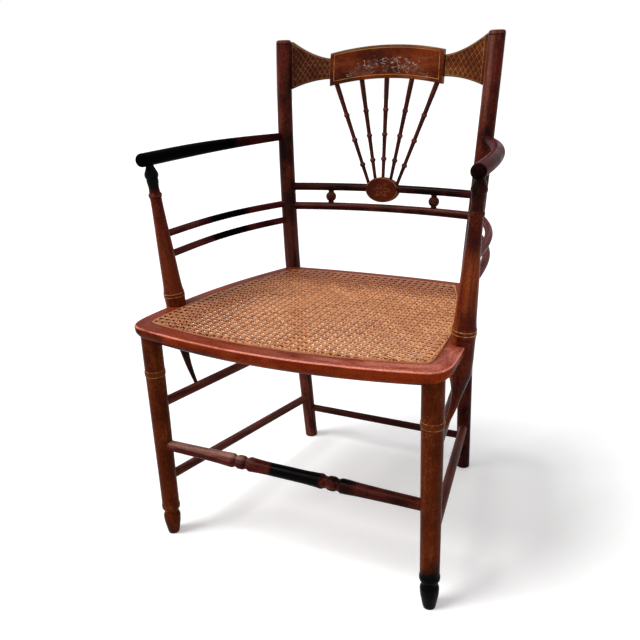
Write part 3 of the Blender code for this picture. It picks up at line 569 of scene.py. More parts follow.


# Shares from 0 to 1, which the dark and worn patches, the painted shade and the painted highlights of the
# pieces are drawn with

def ease(value, low, high):
    share = min(max((value - low) / (high - low), 0.0), 1.0)
    return share * share * (3 - 2 * share)


def fade(value, low, high):
    return 1 - ease(value, low, high)


def near(value, at, low, high):
    return fade(abs(value - at), low, high)


def within(value, start, full, end, gone):
    return ease(value, start, full) * fade(value, end, gone)


# Lines that several pieces share

def postAxis(side, z):
    share = z / chair["seat"]
    rise = (z - chair["seat"]) / (chair["height"] - chair["seat"])
    spots = []
    bend = max(0.0, 4 * rise * (1 - rise))
    places = (chair[key] for key in ("postFoot", "postSeat", "postTop", "postBow"))
    for foot, seat, top, bow in zip(*places):
        leg = foot + (seat - foot) * share
        back = seat + (top - seat) * rise + bow * bend
        spots.append((leg + back + math.hypot(leg - back, chair["postBend"])) / 2)
    return Vector((side * spots[0], spots[1], z))


def backPoint(x, z, behind=0.0):
    post = postAxis(1, z)
    return Vector((x, post.y + chair["backBow"] * (1 - (x / post.x) ** 2) + behind, z))


def bowedLine(rear, front, count):
    # an arm or arm rail: outwards first, then forwards
    handles = []
    for out, along in ((0.90, 0.40), (0.92, 0.62)):
        handle = rear.lerp(front, along)
        handle.x = rear.x + (front.x - rear.x) * out
        handles.append(handle)
    return interpolate_bezier(rear, handles[0], handles[1], front, count)


armLook = {
    "height": 0.7095, "drop": 0.005, "tip": (0.2975, -0.1585), "rear": 0.0073, "front": 0.0121, "full": 0.8,
    "rings": 90, "nose": 0.0070, "noseGap": 0.0075, "noseEnd": 0.55, "noseCurve": 0.8,
}


def armLine(side):
    rear = postAxis(side, armLook["height"])
    tip = Vector((side * armLook["tip"][0], armLook["tip"][1], armLook["height"] - armLook["drop"]))
    return bowedLine(rear, tip, armLook["rings"])


armPostLook = {
    "x": 0.2760, "y": -0.1265, "headY": -0.1330, "radius": 0.0196, "neck": 0.0070, "ring": 0.0122,
    "base": 0.024, "shoulder": 0.028, "tuck": 0.002, "bulge": 0.006, "taperEnd": 0.060, "waist": 0.535,
    "underArm": 0.002, "ringDown": 0.0535, "footRingUp": 0.020,
    # (share of the radius, height over the seat) of the swelling foot
    "foot": ((0.97, -chair["seatThick"]), (0.955, 0.006), (0.975, 0.0135), (1.005, 0.0175), (1.005, 0.0225),
             (0.970, 0.0265)),
    # (share of the radius, share of the taper's length)
    "taper": ((0.925, 0.035), (0.868, 0.10), (0.800, 0.28), (0.718, 0.50), (0.618, 0.72)),
    # (share of the ring's radius, depth under the neck)
    "turnings": ((0.90, 0.0580), (0.98, 0.0555), (1.0, 0.0535), (0.98, 0.0515), (0.82, 0.0490),
                 (0.80, 0.0465), (0.77, 0.0400), (0.86, 0.0310), (0.89, 0.0270), (0.86, 0.0245),
                 (0.97, 0.0215), (1.03, 0.0180), (0.98, 0.0145), (0.80, 0.0090)),
    # (radius, share of the length) of the tail under the seat, thin end first
    "tail": ((0.0030, 0.0), (0.0055, 0.36), (0.0078, 0.60), (0.0125, 0.82), (0.0186, 1.0)),
    "giltUp": (0.0168, 0.0228), "giltHalf": 0.0006,
}


def armPostHead(side):
    return min(armLine(side), key=lambda spot: abs(spot.y - armPostLook["headY"]))


def armPostAxis(side, z):
    foot = Vector((side * armPostLook["x"], armPostLook["y"], chair["seat"]))
    head = armPostHead(side)
    return foot + (head - foot) * ((z - foot.z) / (head.z - foot.z))


# Rear posts

rearPostLook = {
    "foot": 0.0140, "seat": 0.0162, "top": 0.0155, "dome": 0.0052, "toe": 0.0015, "rings": 130,
    "fine": 0.024, "fineRings": 24, "line": 0.0080, "rim": (0.0068, 0.0058),
}


def rearPostRadius(z):
    look = rearPostLook
    if z < chair["seat"]:
        return look["foot"] + (look["seat"] - look["foot"]) * z / chair["seat"]
    rise = (z - chair["seat"]) / (chair["height"] - chair["seat"])
    return look["seat"] + (look["top"] - look["seat"]) * rise


def buildRearPosts():
    look = rearPostLook
    top = chair["height"]
    toe = look["toe"]
    dome = look["dome"]
    fine = look["fine"]  # the rings lie closer over this much of the top
    heights = [toe * i / 4 for i in range(4)]
    heights += [toe + (top - fine - toe) * i / look["rings"] for i in range(look["rings"])]
    heights += [top - fine + (fine - dome) * i / look["fineRings"] for i in range(look["fineRings"])]
    heights += [top - dome * (1 - rise) for rise, away in quarter(10)]
    radii = []
    for z in heights:
        low = max(0.0, 1 - z / toe)
        high = max(0.0, 1 - (top - z) / dome)
        cut = toe * (1 - math.sqrt(1 - low * low)) + dome * (1 - math.sqrt(1 - high * high))
        radii.append(rearPostRadius(z) - cut)
    for label, side in sides:

        def dark(x, y, z, side=side):
            line = 0.7 * near(z, top - look["line"], 0.0006, 0.0018)
            if side < 0:
                behindArm = 0.36 * within(z, 0.54, 0.62, 0.74, 0.84)
                return max(line, behindArm)
            joint = 0.50 * near(z, armLook["height"], 0.008, 0.038)
            # painted shade on the right-hand face of the right post, high up
            outer = 0.40 * ease(x - postAxis(side, z).x, 0.007, 0.014) * ease(z, 0.70, 0.78)
            return max(line, joint, outer)

        def wear(x, y, z, side=side):
            # a painted highlight round the domed top
            rim = 0.6 * ease(z, top - look["rim"][0], top - look["rim"][1])
            inwards = postAxis(side, z).x - x
            if side > 0:
                # a painted highlight on the left-hand face of the right post, high up
                upper = 0.78 * ease(z, 0.66, 0.82) * ease(inwards, -0.009, 0.006)
                return max(rim, upper)
            lower = 0.42 * fade(z, 0.50, 0.56)
            # the left post is a little paler all over, with a painted highlight on its left-hand face
            # higher up
            upper = 0.10 + 0.30 * ease(inwards, 0.0, 0.010) * ease(z, 0.70, 0.84)
            return max(rim, lower, upper)
        points = [postAxis(side, z) for z in heights]
        addRound("rear_post_" + label, points, radii, "postLacquer", darkWood, dark, wear, level=True)


# Front legs with their ring and turned feet

frontLegLook = {
    "top": 0.0179, "ring": 0.0189, "ringAt": 0.339, "ankle": 0.0163, "bulb": 0.0160, "neck": 0.0127,
    "toe": 0.0102, "collarAt": 0.061, "end": 0.414, "gilt": ((-0.0054, -0.0046), (0.0048, 0.0054)),
}


def buildFrontLegs():
    look = frontLegLook
    at = look["ringAt"]
    toe, bulb, neck, ankle = (look[key] for key in ("toe", "bulb", "neck", "ankle"))
    top = look["top"]
    ring = look["ring"]
    steps = [
        (toe, 0.0), (toe + 0.0006, 0.002), (toe + 0.0030, 0.014), (bulb - 0.0003, 0.030), (bulb, 0.038),
        (neck + 0.0012, 0.0445), (neck, 0.0475), (neck + 0.0012, 0.0505), (ankle + 0.0008, 0.056),
        (ankle + 0.0011, look["collarAt"]), (ankle, 0.067), (0.0166, 0.150), (0.0172, 0.240),
        (top - 0.0002, at - 0.0075), (top + 0.0001, at - 0.0060), (ring - 0.0002, at - 0.0032), (ring, at),
        (ring - 0.0002, at + 0.0032), (top + 0.0001, at + 0.0060), (top, at + 0.0075), (top, 0.375),
        (top, look["end"]),
    ]
    bands = [(at + start, at + end) for start, end in look["gilt"]]
    for label, side in sides:
        foot = Vector((side * chair["legX"], chair["legY"], 0))

        def dark(x, y, z, side=side):
            if side > 0:
                foot = fade(z, 0.058, 0.098)
                return max(foot, 0.36 * fade(z, 0.080, 0.190))
            foot = 0.35 * fade(z, 0.02, 0.05)
            # slightly darker all over, with painted shade at the top under the seat rail
            return max(foot, 0.10 + 0.36 * ease(z, 0.345, 0.385))

        def wear(x, y, z):
            onRing = 0.2 * near(z, at, 0.002, 0.006)
            onCollar = 0.35 * near(z, look["collarAt"], 0.003, 0.008)
            return max(onRing, onCollar)
        addTurned("front_leg_" + label, foot, foot + Vector((0, 0, 1)), steps, "legLacquer", brownWood, 7,
                  dark=dark, wear=wear, bands=bands)


# Arm posts: swelling foot, taper and rings under the arm

def buildArmPosts():
    look = armPostLook
    full = look["radius"]
    seat = chair["seat"]
    frontZ, rearZ = stretcherLook["upper"]
    for label, side in sides:
        head = armPostHead(side)
        neck = head.z - armLook["front"] + look["underArm"]
        base = seat + look["base"]
        taper = neck - look["taperEnd"] - base
        above = [(full * share, seat + up) for share, up in look["foot"]]
        above += [(full * share, base + taper * along) for share, along in look["taper"]]
        above += [(full * look["waist"], neck - look["taperEnd"] - 0.0005)]
        above += [(look["ring"] * share, neck - down) for share, down in look["turnings"]]
        thin = look["neck"]
        above += [(thin + 0.0005, neck - 0.0035), (thin, neck), (thin - 0.001, head.z)]
        above = fillProfile(above, 7)
        front = Vector((side * chair["legX"], chair["legY"], frontZ))
        rear = postAxis(side, rearZ)
        foot = front.lerp(rear, (look["y"] - front.y) / (rear.y - front.y))
        shoulder = armPostAxis(side, seat - chair["seatThick"])
        shoulder -= Vector((side * look["tuck"], 0, look["shoulder"]))
        points = []
        radii = []
        for radius, share in fillProfile(look["tail"], 6):
            bulge = Vector((side * look["bulge"] * math.sin(math.pi * share), 0, 0))
            points.append(foot.lerp(shoulder, share) + bulge)
            radii.append(radius)
        points += [armPostAxis(side, z) for radius, z in above]
        radii += [radius for radius, z in above]

        def dark(x, y, z, side=side):
            # both posts get painted shade on the tail under the seat
            if side < 0:
                upper = 0.16 * ease(z, 0.52, 0.62) + ease(z, 0.645, 0.668)
                return 0.06 + upper + 0.6 * fade(z, 0.36, 0.40)
            # the right post also gets painted shade up under the arm
            upper = 0.40 * ease(z, 0.56, 0.63) + 0.30 * ease(z, 0.63, 0.65)
            return upper + 0.4 * fade(z, 0.36, 0.40)

        def wear(x, y, z, side=side, ringAt=neck - look["ringDown"]):
            foot = 0.35 * near(z, seat + look["footRingUp"], 0.004, 0.010)
            # the ring under the arm is painted paler, partly rubbed and partly a painted highlight
            ring = 0.50 * near(z, ringAt, 0.0012, 0.0030)
            inwards = armPostAxis(side, z).x - x
            # a painted highlight on the left-hand face of the right post, and a paler ground on the left
            # post, both below the rings
            lit = (0.75 * ease(inwards, 0.002, 0.012) if side > 0 else 0.32) * fade(z, 0.57, 0.63)
            outer = ease(x - side * look["x"] + (look["y"] - y) * 0.5, 0.004, 0.018)
            streak = (0.60 if side > 0 else 0.30) * within(z, 0.475, 0.50, 0.565, 0.60) * outer
            return max(foot, ring, lit, streak)
        lengths = runLengths(points)
        seatAlong = lengths[min(range(len(points)), key=lambda i: abs(points[i].z - seat))]
        half = look["giltHalf"]
        bands = [(seatAlong + up - half, seatAlong + up + half) for up in look["giltUp"]]
        addRound("arm_post_" + label, points, radii, "armPostLacquer", brownWood, dark, wear, bands)


# Arms and the two rails under each

def buildArms():
    look = armLook
    for label, side in sides:
        points = armLine(side)
        tip = points[-1].copy()
        ahead = (points[-1] - points[-2]).normalized()
        while (points[-1] - tip).length < look["noseGap"]:
            points.pop()
        radii = []
        for i in range(len(points)):
            share = min(i / (look["rings"] - 1) / look["full"], 1.0)
            radii.append(look["rear"] + (look["front"] - look["rear"]) * share * (2 - share))
        for rise, away in quarter(8):
            points.append(tip - ahead * look["nose"] * (1 - rise))
            full = away ** look["noseCurve"]
            radii.append(look["front"] * (look["noseEnd"] + (1 - look["noseEnd"]) * full))

        def dark(x, y, z, side=side):
            under = look["height"] - z
            if side < 0:
                # left arm: near-black over the front, fading towards the post except on the underside,
                # which keeps painted shade
                low = ease(under - look["drop"], -0.002, 0.006)
                return 1.2 - (0.95 - 0.4 * low) * ease(y, 0.065, 0.105)
            # right arm: painted shade on the underside, darker towards the post and at the nose
            low = 0.42 * ease(under, -0.004, 0.006)
            rear = 0.62 * ease(y, 0.10, 0.18)
            nose = 0.30 * fade(y, -0.13, -0.08) + 0.40 * fade(y, -0.156, -0.150)
            return max(low, rear, nose)

        def wear(x, y, z, side=side):
            # a painted highlight along the top of the right arm
            return 0.18 * ease(z - look["height"], -0.002, 0.008) if side > 0 else 0.0
        addRound("arm_" + label, points, radii, "armLacquer", darkWood, dark, wear)


armRailLook = {"radius": 0.0067, "upper": (0.5705, 0.5680), "lower": (0.5365, 0.5290), "rings": 60}


def buildArmRails():
    look = armRailLook
    for label, side in sides:

        def dark(x, y, z, side=side):
            middle = 1.05 * within(y, -0.010, 0.018, 0.075, 0.115)
            return 0.10 + 0.14 * ease(y, 0.08, 0.12) + middle if side < 0 else 0.0

        def wear(x, y, z, side=side):
            return 0.6 if side > 0 else 0.35 * fade(y, -0.05, 0.0)
        for level in ("upper", "lower"):
            rear = postAxis(side, look[level][0])
            front = armPostAxis(side, look[level][1])
            line = bowedLine(rear, front, look["rings"])
            addRound("arm_rail_" + level + "_" + label, line, [look["radius"]] * len(line), "armLacquer",
                     darkWood, dark, wear, count=28)


# Seat rails

seatLook = {
    "frontY": -0.288, "frontBow": 0.0293, "cornerX": 0.254, "sideX": 0.2876, "sideY": -0.205,
    "backBow": 0.0095, "round": 0.0042, "undercut": 0.0115, "show": 0.0265, "sideShow": 0.0045,
    "square": 0.58, "lap": 0.016, "jointY": -0.166, "backSteps": 30, "cornerAt": (0.276, -0.232),
    "edgeAt": 0.0012, "postCorner": (0.26, -0.40), "cornerReach": 0.46, "cornerDeep": 0.6,
    "sideHandles": ((0.93, 0.655), (0.74, 0.40)),
}


def seatCorner():
    post = postAxis(1, chair["seat"])
    aside, ahead = seatLook["postCorner"]
    return Vector((post.x + rearPostLook["seat"] * aside, post.y + rearPostLook["seat"] * ahead, 0))


def seatHalf(square=0.0):
    look = seatLook
    cornerX = look["cornerX"] + square * (look["sideX"] - look["cornerX"])
    bow = look["frontBow"] * (cornerX / look["cornerX"]) ** 2
    front = []
    for i in range(61):
        share = i / 60
        front.append(Vector((cornerX * share, look["frontY"] + bow * share ** 2, 0)))
    deep = look["sideY"] - look["frontY"] - look["frontBow"]
    start = Vector((look["sideX"], look["sideY"] - square * deep * look["cornerDeep"], 0))
    slope = Vector((cornerX, 2 * bow, 0)).normalized()
    reach = (start - front[-1]).length * look["cornerReach"]
    handles = (front[-1] + slope * reach, start - Vector((0, reach, 0)))
    corner = interpolate_bezier(front[-1], *handles, start, 33)
    rear = seatCorner()
    handles = []
    for out, along in look["sideHandles"]:
        handles.append(Vector((rear.x + (start.x - rear.x) * out, rear.y + (start.y - rear.y) * along, 0)))
    side = interpolate_bezier(start, *handles, rear, 81)
    back = []
    for i in range(look["backSteps"] + 1):
        x = rear.x * (1 - i / look["backSteps"])
        back.append(Vector((x, rear.y + look["backBow"] * (1 - (x / rear.x) ** 2), 0)))
    return front[:-1] + corner[:-1] + side[:-1] + back


def seatLoop(inset, z=0.0):
    # seat outline drawn in on every side, squarer towards the cane
    look = seatLook
    inner = min(max(inset - look["undercut"], 0.0) / (look["show"] - look["undercut"]), 1.0)
    half = seatHalf(look["square"] * inner)
    loop = half + [Vector((-p.x, p.y, 0)) for p in reversed(half[1:-1])]
    middle = (min(p.y for p in loop) + max(p.y for p in loop)) / 2
    wide = 1 - (inset + look["sideShow"] * inner) / max(p.x for p in loop)
    deep = 1 - inset / (max(p.y for p in loop) - middle)
    return [Vector((p.x * wide, middle + (p.y - middle) * deep, z)) for p in loop]


seatOutline = seatLoop(0.0)
seatMiddle = (min(p.y for p in seatOutline) + max(p.y for p in seatOutline)) / 2


def seatSection():
    # (inset, height over the top) round the rail, from the cane over the edge to the underside
    look = seatLook
    thick = chair["seatThick"]
    opening = look["show"] + look["lap"]
    section = [(opening, 0.0), (look["show"], 0.0), (look["show"] * 0.55, 0.0)]
    section += [(look["round"] * (1 - rise), -look["round"] * (1 - away)) for rise, away in quarter(8)]
    under = [(0.0, -look["round"]), (0.0006, -thick * 0.45), (look["undercut"] * 0.40, -thick * 0.76),
             (look["undercut"], -thick)]
    return section + fillProfile(under, 4)[1:] + [(opening, -thick)]


def sweepSeat(places, section):
    # rings of a section along part of the seat's outline, with their grain
    loops = [seatLoop(inset, chair["seat"] + up) for inset, up in section]
    rings = [[loop[i] for loop in loops] for i in places]
    lengths = runLengths([seatOutline[i] for i in places])
    return rings, [(inset, up, along) for along in lengths for inset, up in section]


def railWearAndHighlight(spot, inset, up):
    # a little rubbed on top, with a painted highlight on the top towards the right front and a painted
    # highlight line along the rounded edge
    edgeAt = seatLook["edgeAt"]
    front = fade(spot.y, -0.20, -0.08)
    top = (0.10 + 0.46 * ease(spot.x, -0.10, 0.25) * front) * fade(-up, 0.0004, 0.0020)
    edge = 0.6 + 0.8 * front + 0.6 * ease(spot.x, 0.08, 0.20)
    return max(top, edge * fade(math.hypot(inset - edgeAt, up + edgeAt), 0.0006, 0.0021))


def railDark(spot, inset, up):
    # darker on the faces of the left side and both front corners, and on the inner wall under the cane;
    # painted shade underneath
    cornerX, cornerY = seatLook["cornerAt"]
    leftCorner = 0.62 * fade(math.hypot(spot.x + cornerX, spot.y - cornerY), 0.030, 0.080)
    rightCorner = 0.30 * fade(math.hypot(spot.x - cornerX, spot.y - cornerY), 0.030, 0.060)
    leftSide = 0.44 * ease(-spot.x, -0.02, 0.16)
    face = max(leftCorner, leftSide, rightCorner) * ease(-up, 0.0025, 0.0045)
    inside = 0.22 if inset > seatLook["show"] else 0.0
    # painted shade along the underside
    return max(inside, face + 0.5 * ease(-up, 0.018, 0.025))


def buildSeatRails():
    section = seatSection()
    size = len(section)
    half = seatHalf()
    joint = min(range(len(half)), key=lambda i: abs(half[i].y - seatLook["jointY"]) + (half[i].x < 0.2))
    rear = len(half) - seatLook["backSteps"] - 1
    total = len(seatOutline)
    rails = {
        "seat_front_rail": [i % total for i in range(-joint, joint + 1)],
        "seat_side_rail_right": range(joint, rear + 1),
        "seat_back_rail": range(rear, total - rear + 1),
        "seat_side_rail_left": range(total - rear, total - joint + 1),
    }
    for node, places in rails.items():
        rings, grain = sweepSeat(places, section)
        wear = [railWearAndHighlight(seatOutline[i], inset, up) for i in places for inset, up in section]
        dark = [railDark(seatOutline[i], inset, up) for i in places for inset, up in section]
        verts = flatten(rings)
        faces = skinRings(rings, closeEnds=False)
        for first, turned in ((0, True), (len(verts) - size, False)):
            # end faces fan out from a middle point, since the joint runs slanting
            middle = len(verts)
            spots = [Vector(v) for v in verts[first:first + size]]
            verts.append(tuple(sum(spots, Vector()) / size))
            grain.append(grain[first])
            wear.append(0.0)
            dark.append(0.0)
            for k in range(size):
                one, two = first + k, first + (k + 1) % size
                faces.append((middle, two, one) if turned else (middle, one, two))
        marks = {"grain": grain, "wear": wear, "dark": dark}
        addPiece(pieceName(node), verts, faces, ["seatLacquer"], [node], marks)


# Cane seat: pairs of strands both ways and single diagonals

weaveLook = {
    "pitchX": 0.0141, "pitchY": 0.0135, "width": 0.0028, "pair": 0.0015, "thick": 0.0015, "slant": 0.0029,
    "wave": 0.0009, "over": 0.0016, "lift": 0.0021, "tuck": -0.0014, "inset": 0.0015, "reach": 24,
    "shortest": 0.006,
    # round one strand: share of its width, share of its thickness
    "shape": ((-0.5, -0.5), (-0.46, 0.1), (-0.25, 0.5), (0.25, 0.5), (0.46, 0.1), (0.5, -0.5)),
    # along one period of a diagonal: share of the period, share of its rise
    "slantStops": ((0.0, 1), (0.19, 0.9), (0.31, -0.9), (0.5, -1), (0.69, -0.9), (0.81, 0.9)),
    # the weave lies flatter and narrower along the left and back rails, and fuller left of the middle
    "leftEdge": -0.2566, "leftBow": 0.61, "leftFrom": -0.2, "leftRange": (0.018, 0.068),
    "backEdge": 0.166, "backRange": (0.026, 0.090), "flatter": 0.64, "narrower": 0.16,
    "fuller": 0.34, "fullRange": (-0.10, 0.06),
}


def lineSpan(origin, ahead, loop):
    # how far a straight strand runs inside the seat opening
    hits = []
    for one, two in zip(loop, loop[1:] + loop[:1]):
        edge = two - one
        cross = ahead.x * edge.y - ahead.y * edge.x
        if abs(cross) > 1e-12:
            gap = one - origin
            share = (gap.x * ahead.y - gap.y * ahead.x) / cross
            if 0 <= share <= 1:
                hits.append((gap.x * edge.y - gap.y * edge.x) / cross)
    return (min(hits), max(hits)) if len(hits) > 1 else None


def nearRail(spot):
    look = weaveLook
    left = spot.x - look["leftEdge"] - look["leftBow"] * max(spot.y - look["leftFrom"], 0.0) ** 2
    back = look["backEdge"] - spot.y
    return 1 - min(ease(left, *look["leftRange"]), ease(back, *look["backRange"]))


def weaveSwell(spot):
    look = weaveLook
    tight = nearRail(spot)
    return 1 - look["flatter"] * tight + look["fuller"] * ease(-spot.x, *look["fullRange"]) * (1 - tight)


def addStrand(strands, points, across, width):
    # one flat strand with rounded edges, darker towards the left and back, partly stain and partly painted
    # shade, and with painted shade on its sides and underside
    look = weaveLook
    verts, faces, grain, tones = strands
    shift = random.random() * 3
    tone = random.random() ** 2 * 0.45
    start = len(verts)
    size = len(look["shape"])
    for point, along in zip(points, runLengths(points)):
        edge = max(ease(-point.x, 0.08, 0.20), ease(point.y, 0.04, 0.13))
        # random stain, with darkening towards the left and back that is partly painted shade
        stain = tone + 0.22 * edge + 0.22 * ease(point.y, 0.06, 0.13)
        wide = width * (1 - look["narrower"] * nearRail(point))
        thick = look["thick"] * weaveSwell(point)
        for side, up in look["shape"]:
            verts.append(tuple(point + across * (side * wide) + Vector((0, 0, up * thick))))
            grain.append((side * width + shift, up * look["thick"], along + shift))
            # painted shade on the underside and lower sides of the strand, deeper near the left and back
            below = 0.45 + 0.5 * edge if up < 0 else 0.12 + 0.4 * edge if up < 0.2 else 0.0
            tones.append(min(stain + below, 1.0))
    last = start + (len(points) - 1) * size
    for one in range(start, last, size):
        for k in range(size):
            after = (k + 1) % size
            faces.append((one + k, one + size + k, one + size + after, one + after))
    faces.append(tuple(range(start, start + size)))
    faces.append(tuple(range(last + size - 1, last - 1, -1)))


def weaveLine(origin, ahead, span, period, stops):
    # points of one strand: (share of the period, rise) stops repeated along it, ends tucked down
    look = weaveLook
    spots = [(span[0], look["tuck"])]
    for j in range(math.floor(span[0] / period) - 1, math.ceil(span[1] / period) + 1):
        for away, rise in stops:
            along = (j + away) * period
            if span[0] < along < span[1]:
                spots.append((along, rise))
    spots.append((span[1], look["tuck"]))
    points = []
    for along, rise in spots:
        spot = origin + ahead * along
        points.append(Vector((spot.x, spot.y, chair["seat"] + look["lift"] + rise * weaveSwell(spot))))
    return points


def buildCane():
    look = weaveLook
    pitchX = look["pitchX"]
    pitchY = look["pitchY"]
    pair = look["pair"]
    reach = look["reach"]
    loop = seatLoop(seatLook["show"] + look["inset"])
    sets = {}

    def lay(name, origin, ahead, width, period, stops, shortest=0.0):
        span = lineSpan(origin, ahead, loop)
        if span and span[1] - span[0] > shortest:
            points = weaveLine(origin, ahead, span, period, stops)
            strands = sets.setdefault(name, ([], [], [], []))
            addStrand(strands, points, Vector((ahead.y, -ahead.x, 0)), width)
    for i in range(-reach, reach + 1):
        for which in (-1, 1):
            rise = which * look["wave"]
            stops = ((0.0, 0.0), (0.5 - pair / pitchY, rise), (0.5 + pair / pitchY, -rise))
            origin = Vector((i * pitchX + which * pair, seatMiddle, 0))
            lay("caneLengthwise", origin, Vector((0, 1, 0)), look["width"], pitchY, stops)
            stops = ((-pair / pitchX, rise), (pair / pitchX, -rise), (0.5, 0.0))
            origin = Vector((0, seatMiddle + (i + 0.5) * pitchY + which * pair, 0))
            lay("caneCrosswise", origin, Vector((1, 0, 0)), look["width"], pitchX, stops)
    for name, lean in (("caneSlantRight", 1), ("caneSlantLeft", -1)):
        ahead = Vector((lean * pitchX, pitchY, 0)).normalized()
        stops = [(away, share * lean * look["over"]) for away, share in look["slantStops"]]
        for k in range(-2 * reach, 2 * reach + 1):
            origin = Vector((k * pitchX, seatMiddle, 0))
            lay(name, origin, ahead, look["slant"], math.hypot(pitchX, pitchY), stops, look["shortest"])
    for name in ("caneLengthwise", "caneCrosswise", "caneSlantRight", "caneSlantLeft"):
        verts, faces, grain, tones = sets[name]
        marks = {"grain": grain, "tone": tones}
        addPiece(name, verts, faces, ["caneStrand"], ["cane_panel"], marks, sharp=60)


bindingLook = {"width": 0.0040, "lift": 0.0012, "base": 0.0006, "overlap": 0.0003}


def bindingTone(spot):
    return 0.40 + 0.30 * max(ease(-spot.x, -0.05, 0.20), fade(spot.y, -0.25, -0.20))


def buildBinding():
    look = bindingLook
    section = []
    for i in range(9):
        angle = math.pi * i / 8
        inset = seatLook["show"] + look["width"] * (0.5 - 0.5 * math.cos(angle)) - look["overlap"]
        section.append((inset, look["base"] + (look["lift"] + look["base"]) * math.sin(angle) ** 0.7))
    count = len(seatOutline)
    outer = seatLoop(section[0][0])
    split = max(i for i in range(count // 2) if outer[i].y <= armPostLook["y"])  # beside the arm posts
    strips = {
        "cane_binding_front": [i % count for i in range(-split, split + 1)],
        "cane_binding_back": range(split, count - split + 1),
    }
    for node, places in strips.items():
        rings, grain = sweepSeat(places, section)
        tones = [bindingTone(seatOutline[i]) for i in places for step in section]
        faces = [tuple(reversed(face)) for face in skinRings(rings)]
        marks = {"grain": grain, "tone": tones}
        addPiece(pieceName(node), flatten(rings), faces, ["caneStrand"], [node], marks)


# Back rails, medallion, balls and fan

backLook = {
    "rail": 0.0080, "medallion": (0.072, 0.051, 0.016), "drop": 0.003, "edge": 0.0035, "crown": 0.0012,
    "rings": (0.02, 0.15, 0.3, 0.45, 0.6, 0.75, 0.88, 0.96, 1.0),  # shares of the medallion's flat face
    "flats": 72, "tenon": 0.004, "ballX": 0.113, "ball": 0.0108, "collar": 0.0062, "bite": 0.0012,
}


def buildBackRails():
    look = backLook
    upper = chair["upperRail"]
    lower = chair["lowerRail"]

    def dark(x, y, z):
        return 0.45 if z > (upper + lower) / 2 else 0.25

    def wear(x, y, z):
        # a painted highlight along the top of the lower rail
        return 0.75 * ease(z - lower, 0.0, 0.005)
    half = postAxis(1, lower).x
    line = [backPoint(half * (i / 40 - 1), lower) for i in range(81)]
    radii = [look["rail"]] * len(line)
    addRound("back_rail_lower", line, radii, "darkLacquer", darkWood, dark, wear, count=32)
    for label, side in sides:
        outer = postAxis(1, upper).x
        inner = look["medallion"][0] / 2 - look["tenon"]
        line = [backPoint(side * (outer + (inner - outer) * i / 40), upper) for i in range(41)]
        radii = [look["rail"]] * len(line)
        addRound("back_rail_upper_" + label, line, radii, "darkLacquer", darkWood, dark, count=32)


def buildMedallion():
    look = backLook
    wide, tall, thick = look["medallion"]
    half = wide / 2
    deep = thick / 2
    edge = look["edge"]
    centre = backPoint(0, chair["upperRail"] - look["drop"])
    rake = math.atan2(chair["postTop"][1] - chair["postSeat"][1], chair["height"] - chair["seat"])
    up = Vector((0, math.sin(rake), math.cos(rake)))
    ahead = Vector((0, -math.cos(rake), math.sin(rake)))
    # (reach, depth) from the middle of the back round the edge to the middle of the crowned front
    shape = [(half - edge) * share for share in look["rings"]]
    turn = quarter(8, 1)
    profile = [(inset, -deep) for inset in shape]
    profile += [(half - edge * (1 - rise), -deep + edge * (1 - away)) for rise, away in turn[:-1]]
    profile += [(half, -deep + edge), (half, deep - edge)]
    profile += [(half - edge * (1 - away), deep - edge * (1 - rise)) for rise, away in turn]
    for inset in reversed(shape[:-1]):
        profile.append((inset, deep + look["crown"] * (1 - (inset / (half - edge)) ** 2)))
    rings = []
    marks = {"grain": [], "border": [], "flat": []}
    for n, (reach, out) in enumerate(profile):
        front = n >= len(profile) - len(shape) - 3
        ring = []
        for k in range(look["flats"]):
            angle = 2 * math.pi * k / look["flats"]
            x = reach * math.cos(angle)
            z = reach / wide * tall * math.sin(angle)
            ring.append(centre + Vector((x, 0, 0)) + up * z + ahead * out)
            marks["border"].append(half - reach if front else -1.0)
            marks["flat"].append((x / half, z / (tall / 2), 0))
            marks["grain"].append((z, out, x))
        rings.append(ring)
    addPiece("backMedallion", flatten(rings), skinRings(rings), ["medallionLacquer"], ["back_medallion"],
             marks)


def buildBalls():
    look = backLook
    ball = look["ball"]
    collar = look["collar"]
    for label, side in sides:
        low = backPoint(side * look["ballX"], chair["lowerRail"])
        high = backPoint(side * look["ballX"], chair["upperRail"])
        reach = (high - low).length / 2 - look["rail"] + look["bite"]
        steps = [(collar, -reach), (collar - 0.0004, -ball * 0.95)]
        for i in range(11):
            angle = math.pi * (0.16 + 0.68 * i / 10)
            steps.append((ball * math.sin(angle), -ball * math.cos(angle)))
        steps += [(collar - 0.0004, ball * 0.95), (collar, reach)]
        addTurned("back_ball_" + label, (low + high) / 2, high, steps, "darkLacquer", darkWood, 3,
                  wear=lambda x, y, z: 0.25, count=36)


tabletLook = {
    "half": 0.1185, "low": 0.8072, "tall": 0.0625, "arch": 0.0125, "thick": 0.0135, "ahead": 0.0060,
    "round": 0.0014, "rows": 30, "hem": 0.0030, "endHem": 0.0038,
}
spindleLook = {
    "spacing": 0.0531, "radius": 0.0050, "tip": 0.0034, "ring": 0.0060, "width": 0.0030, "fanDrop": 0.0718,
    "ringsAt": (0.19, 0.44, 0.69), "foot": 0.004, "head": 0.005,
}


def tabletEdge(x):
    return tabletLook["low"] + tabletLook["arch"] * (1 - (x / tabletLook["half"]) ** 2)


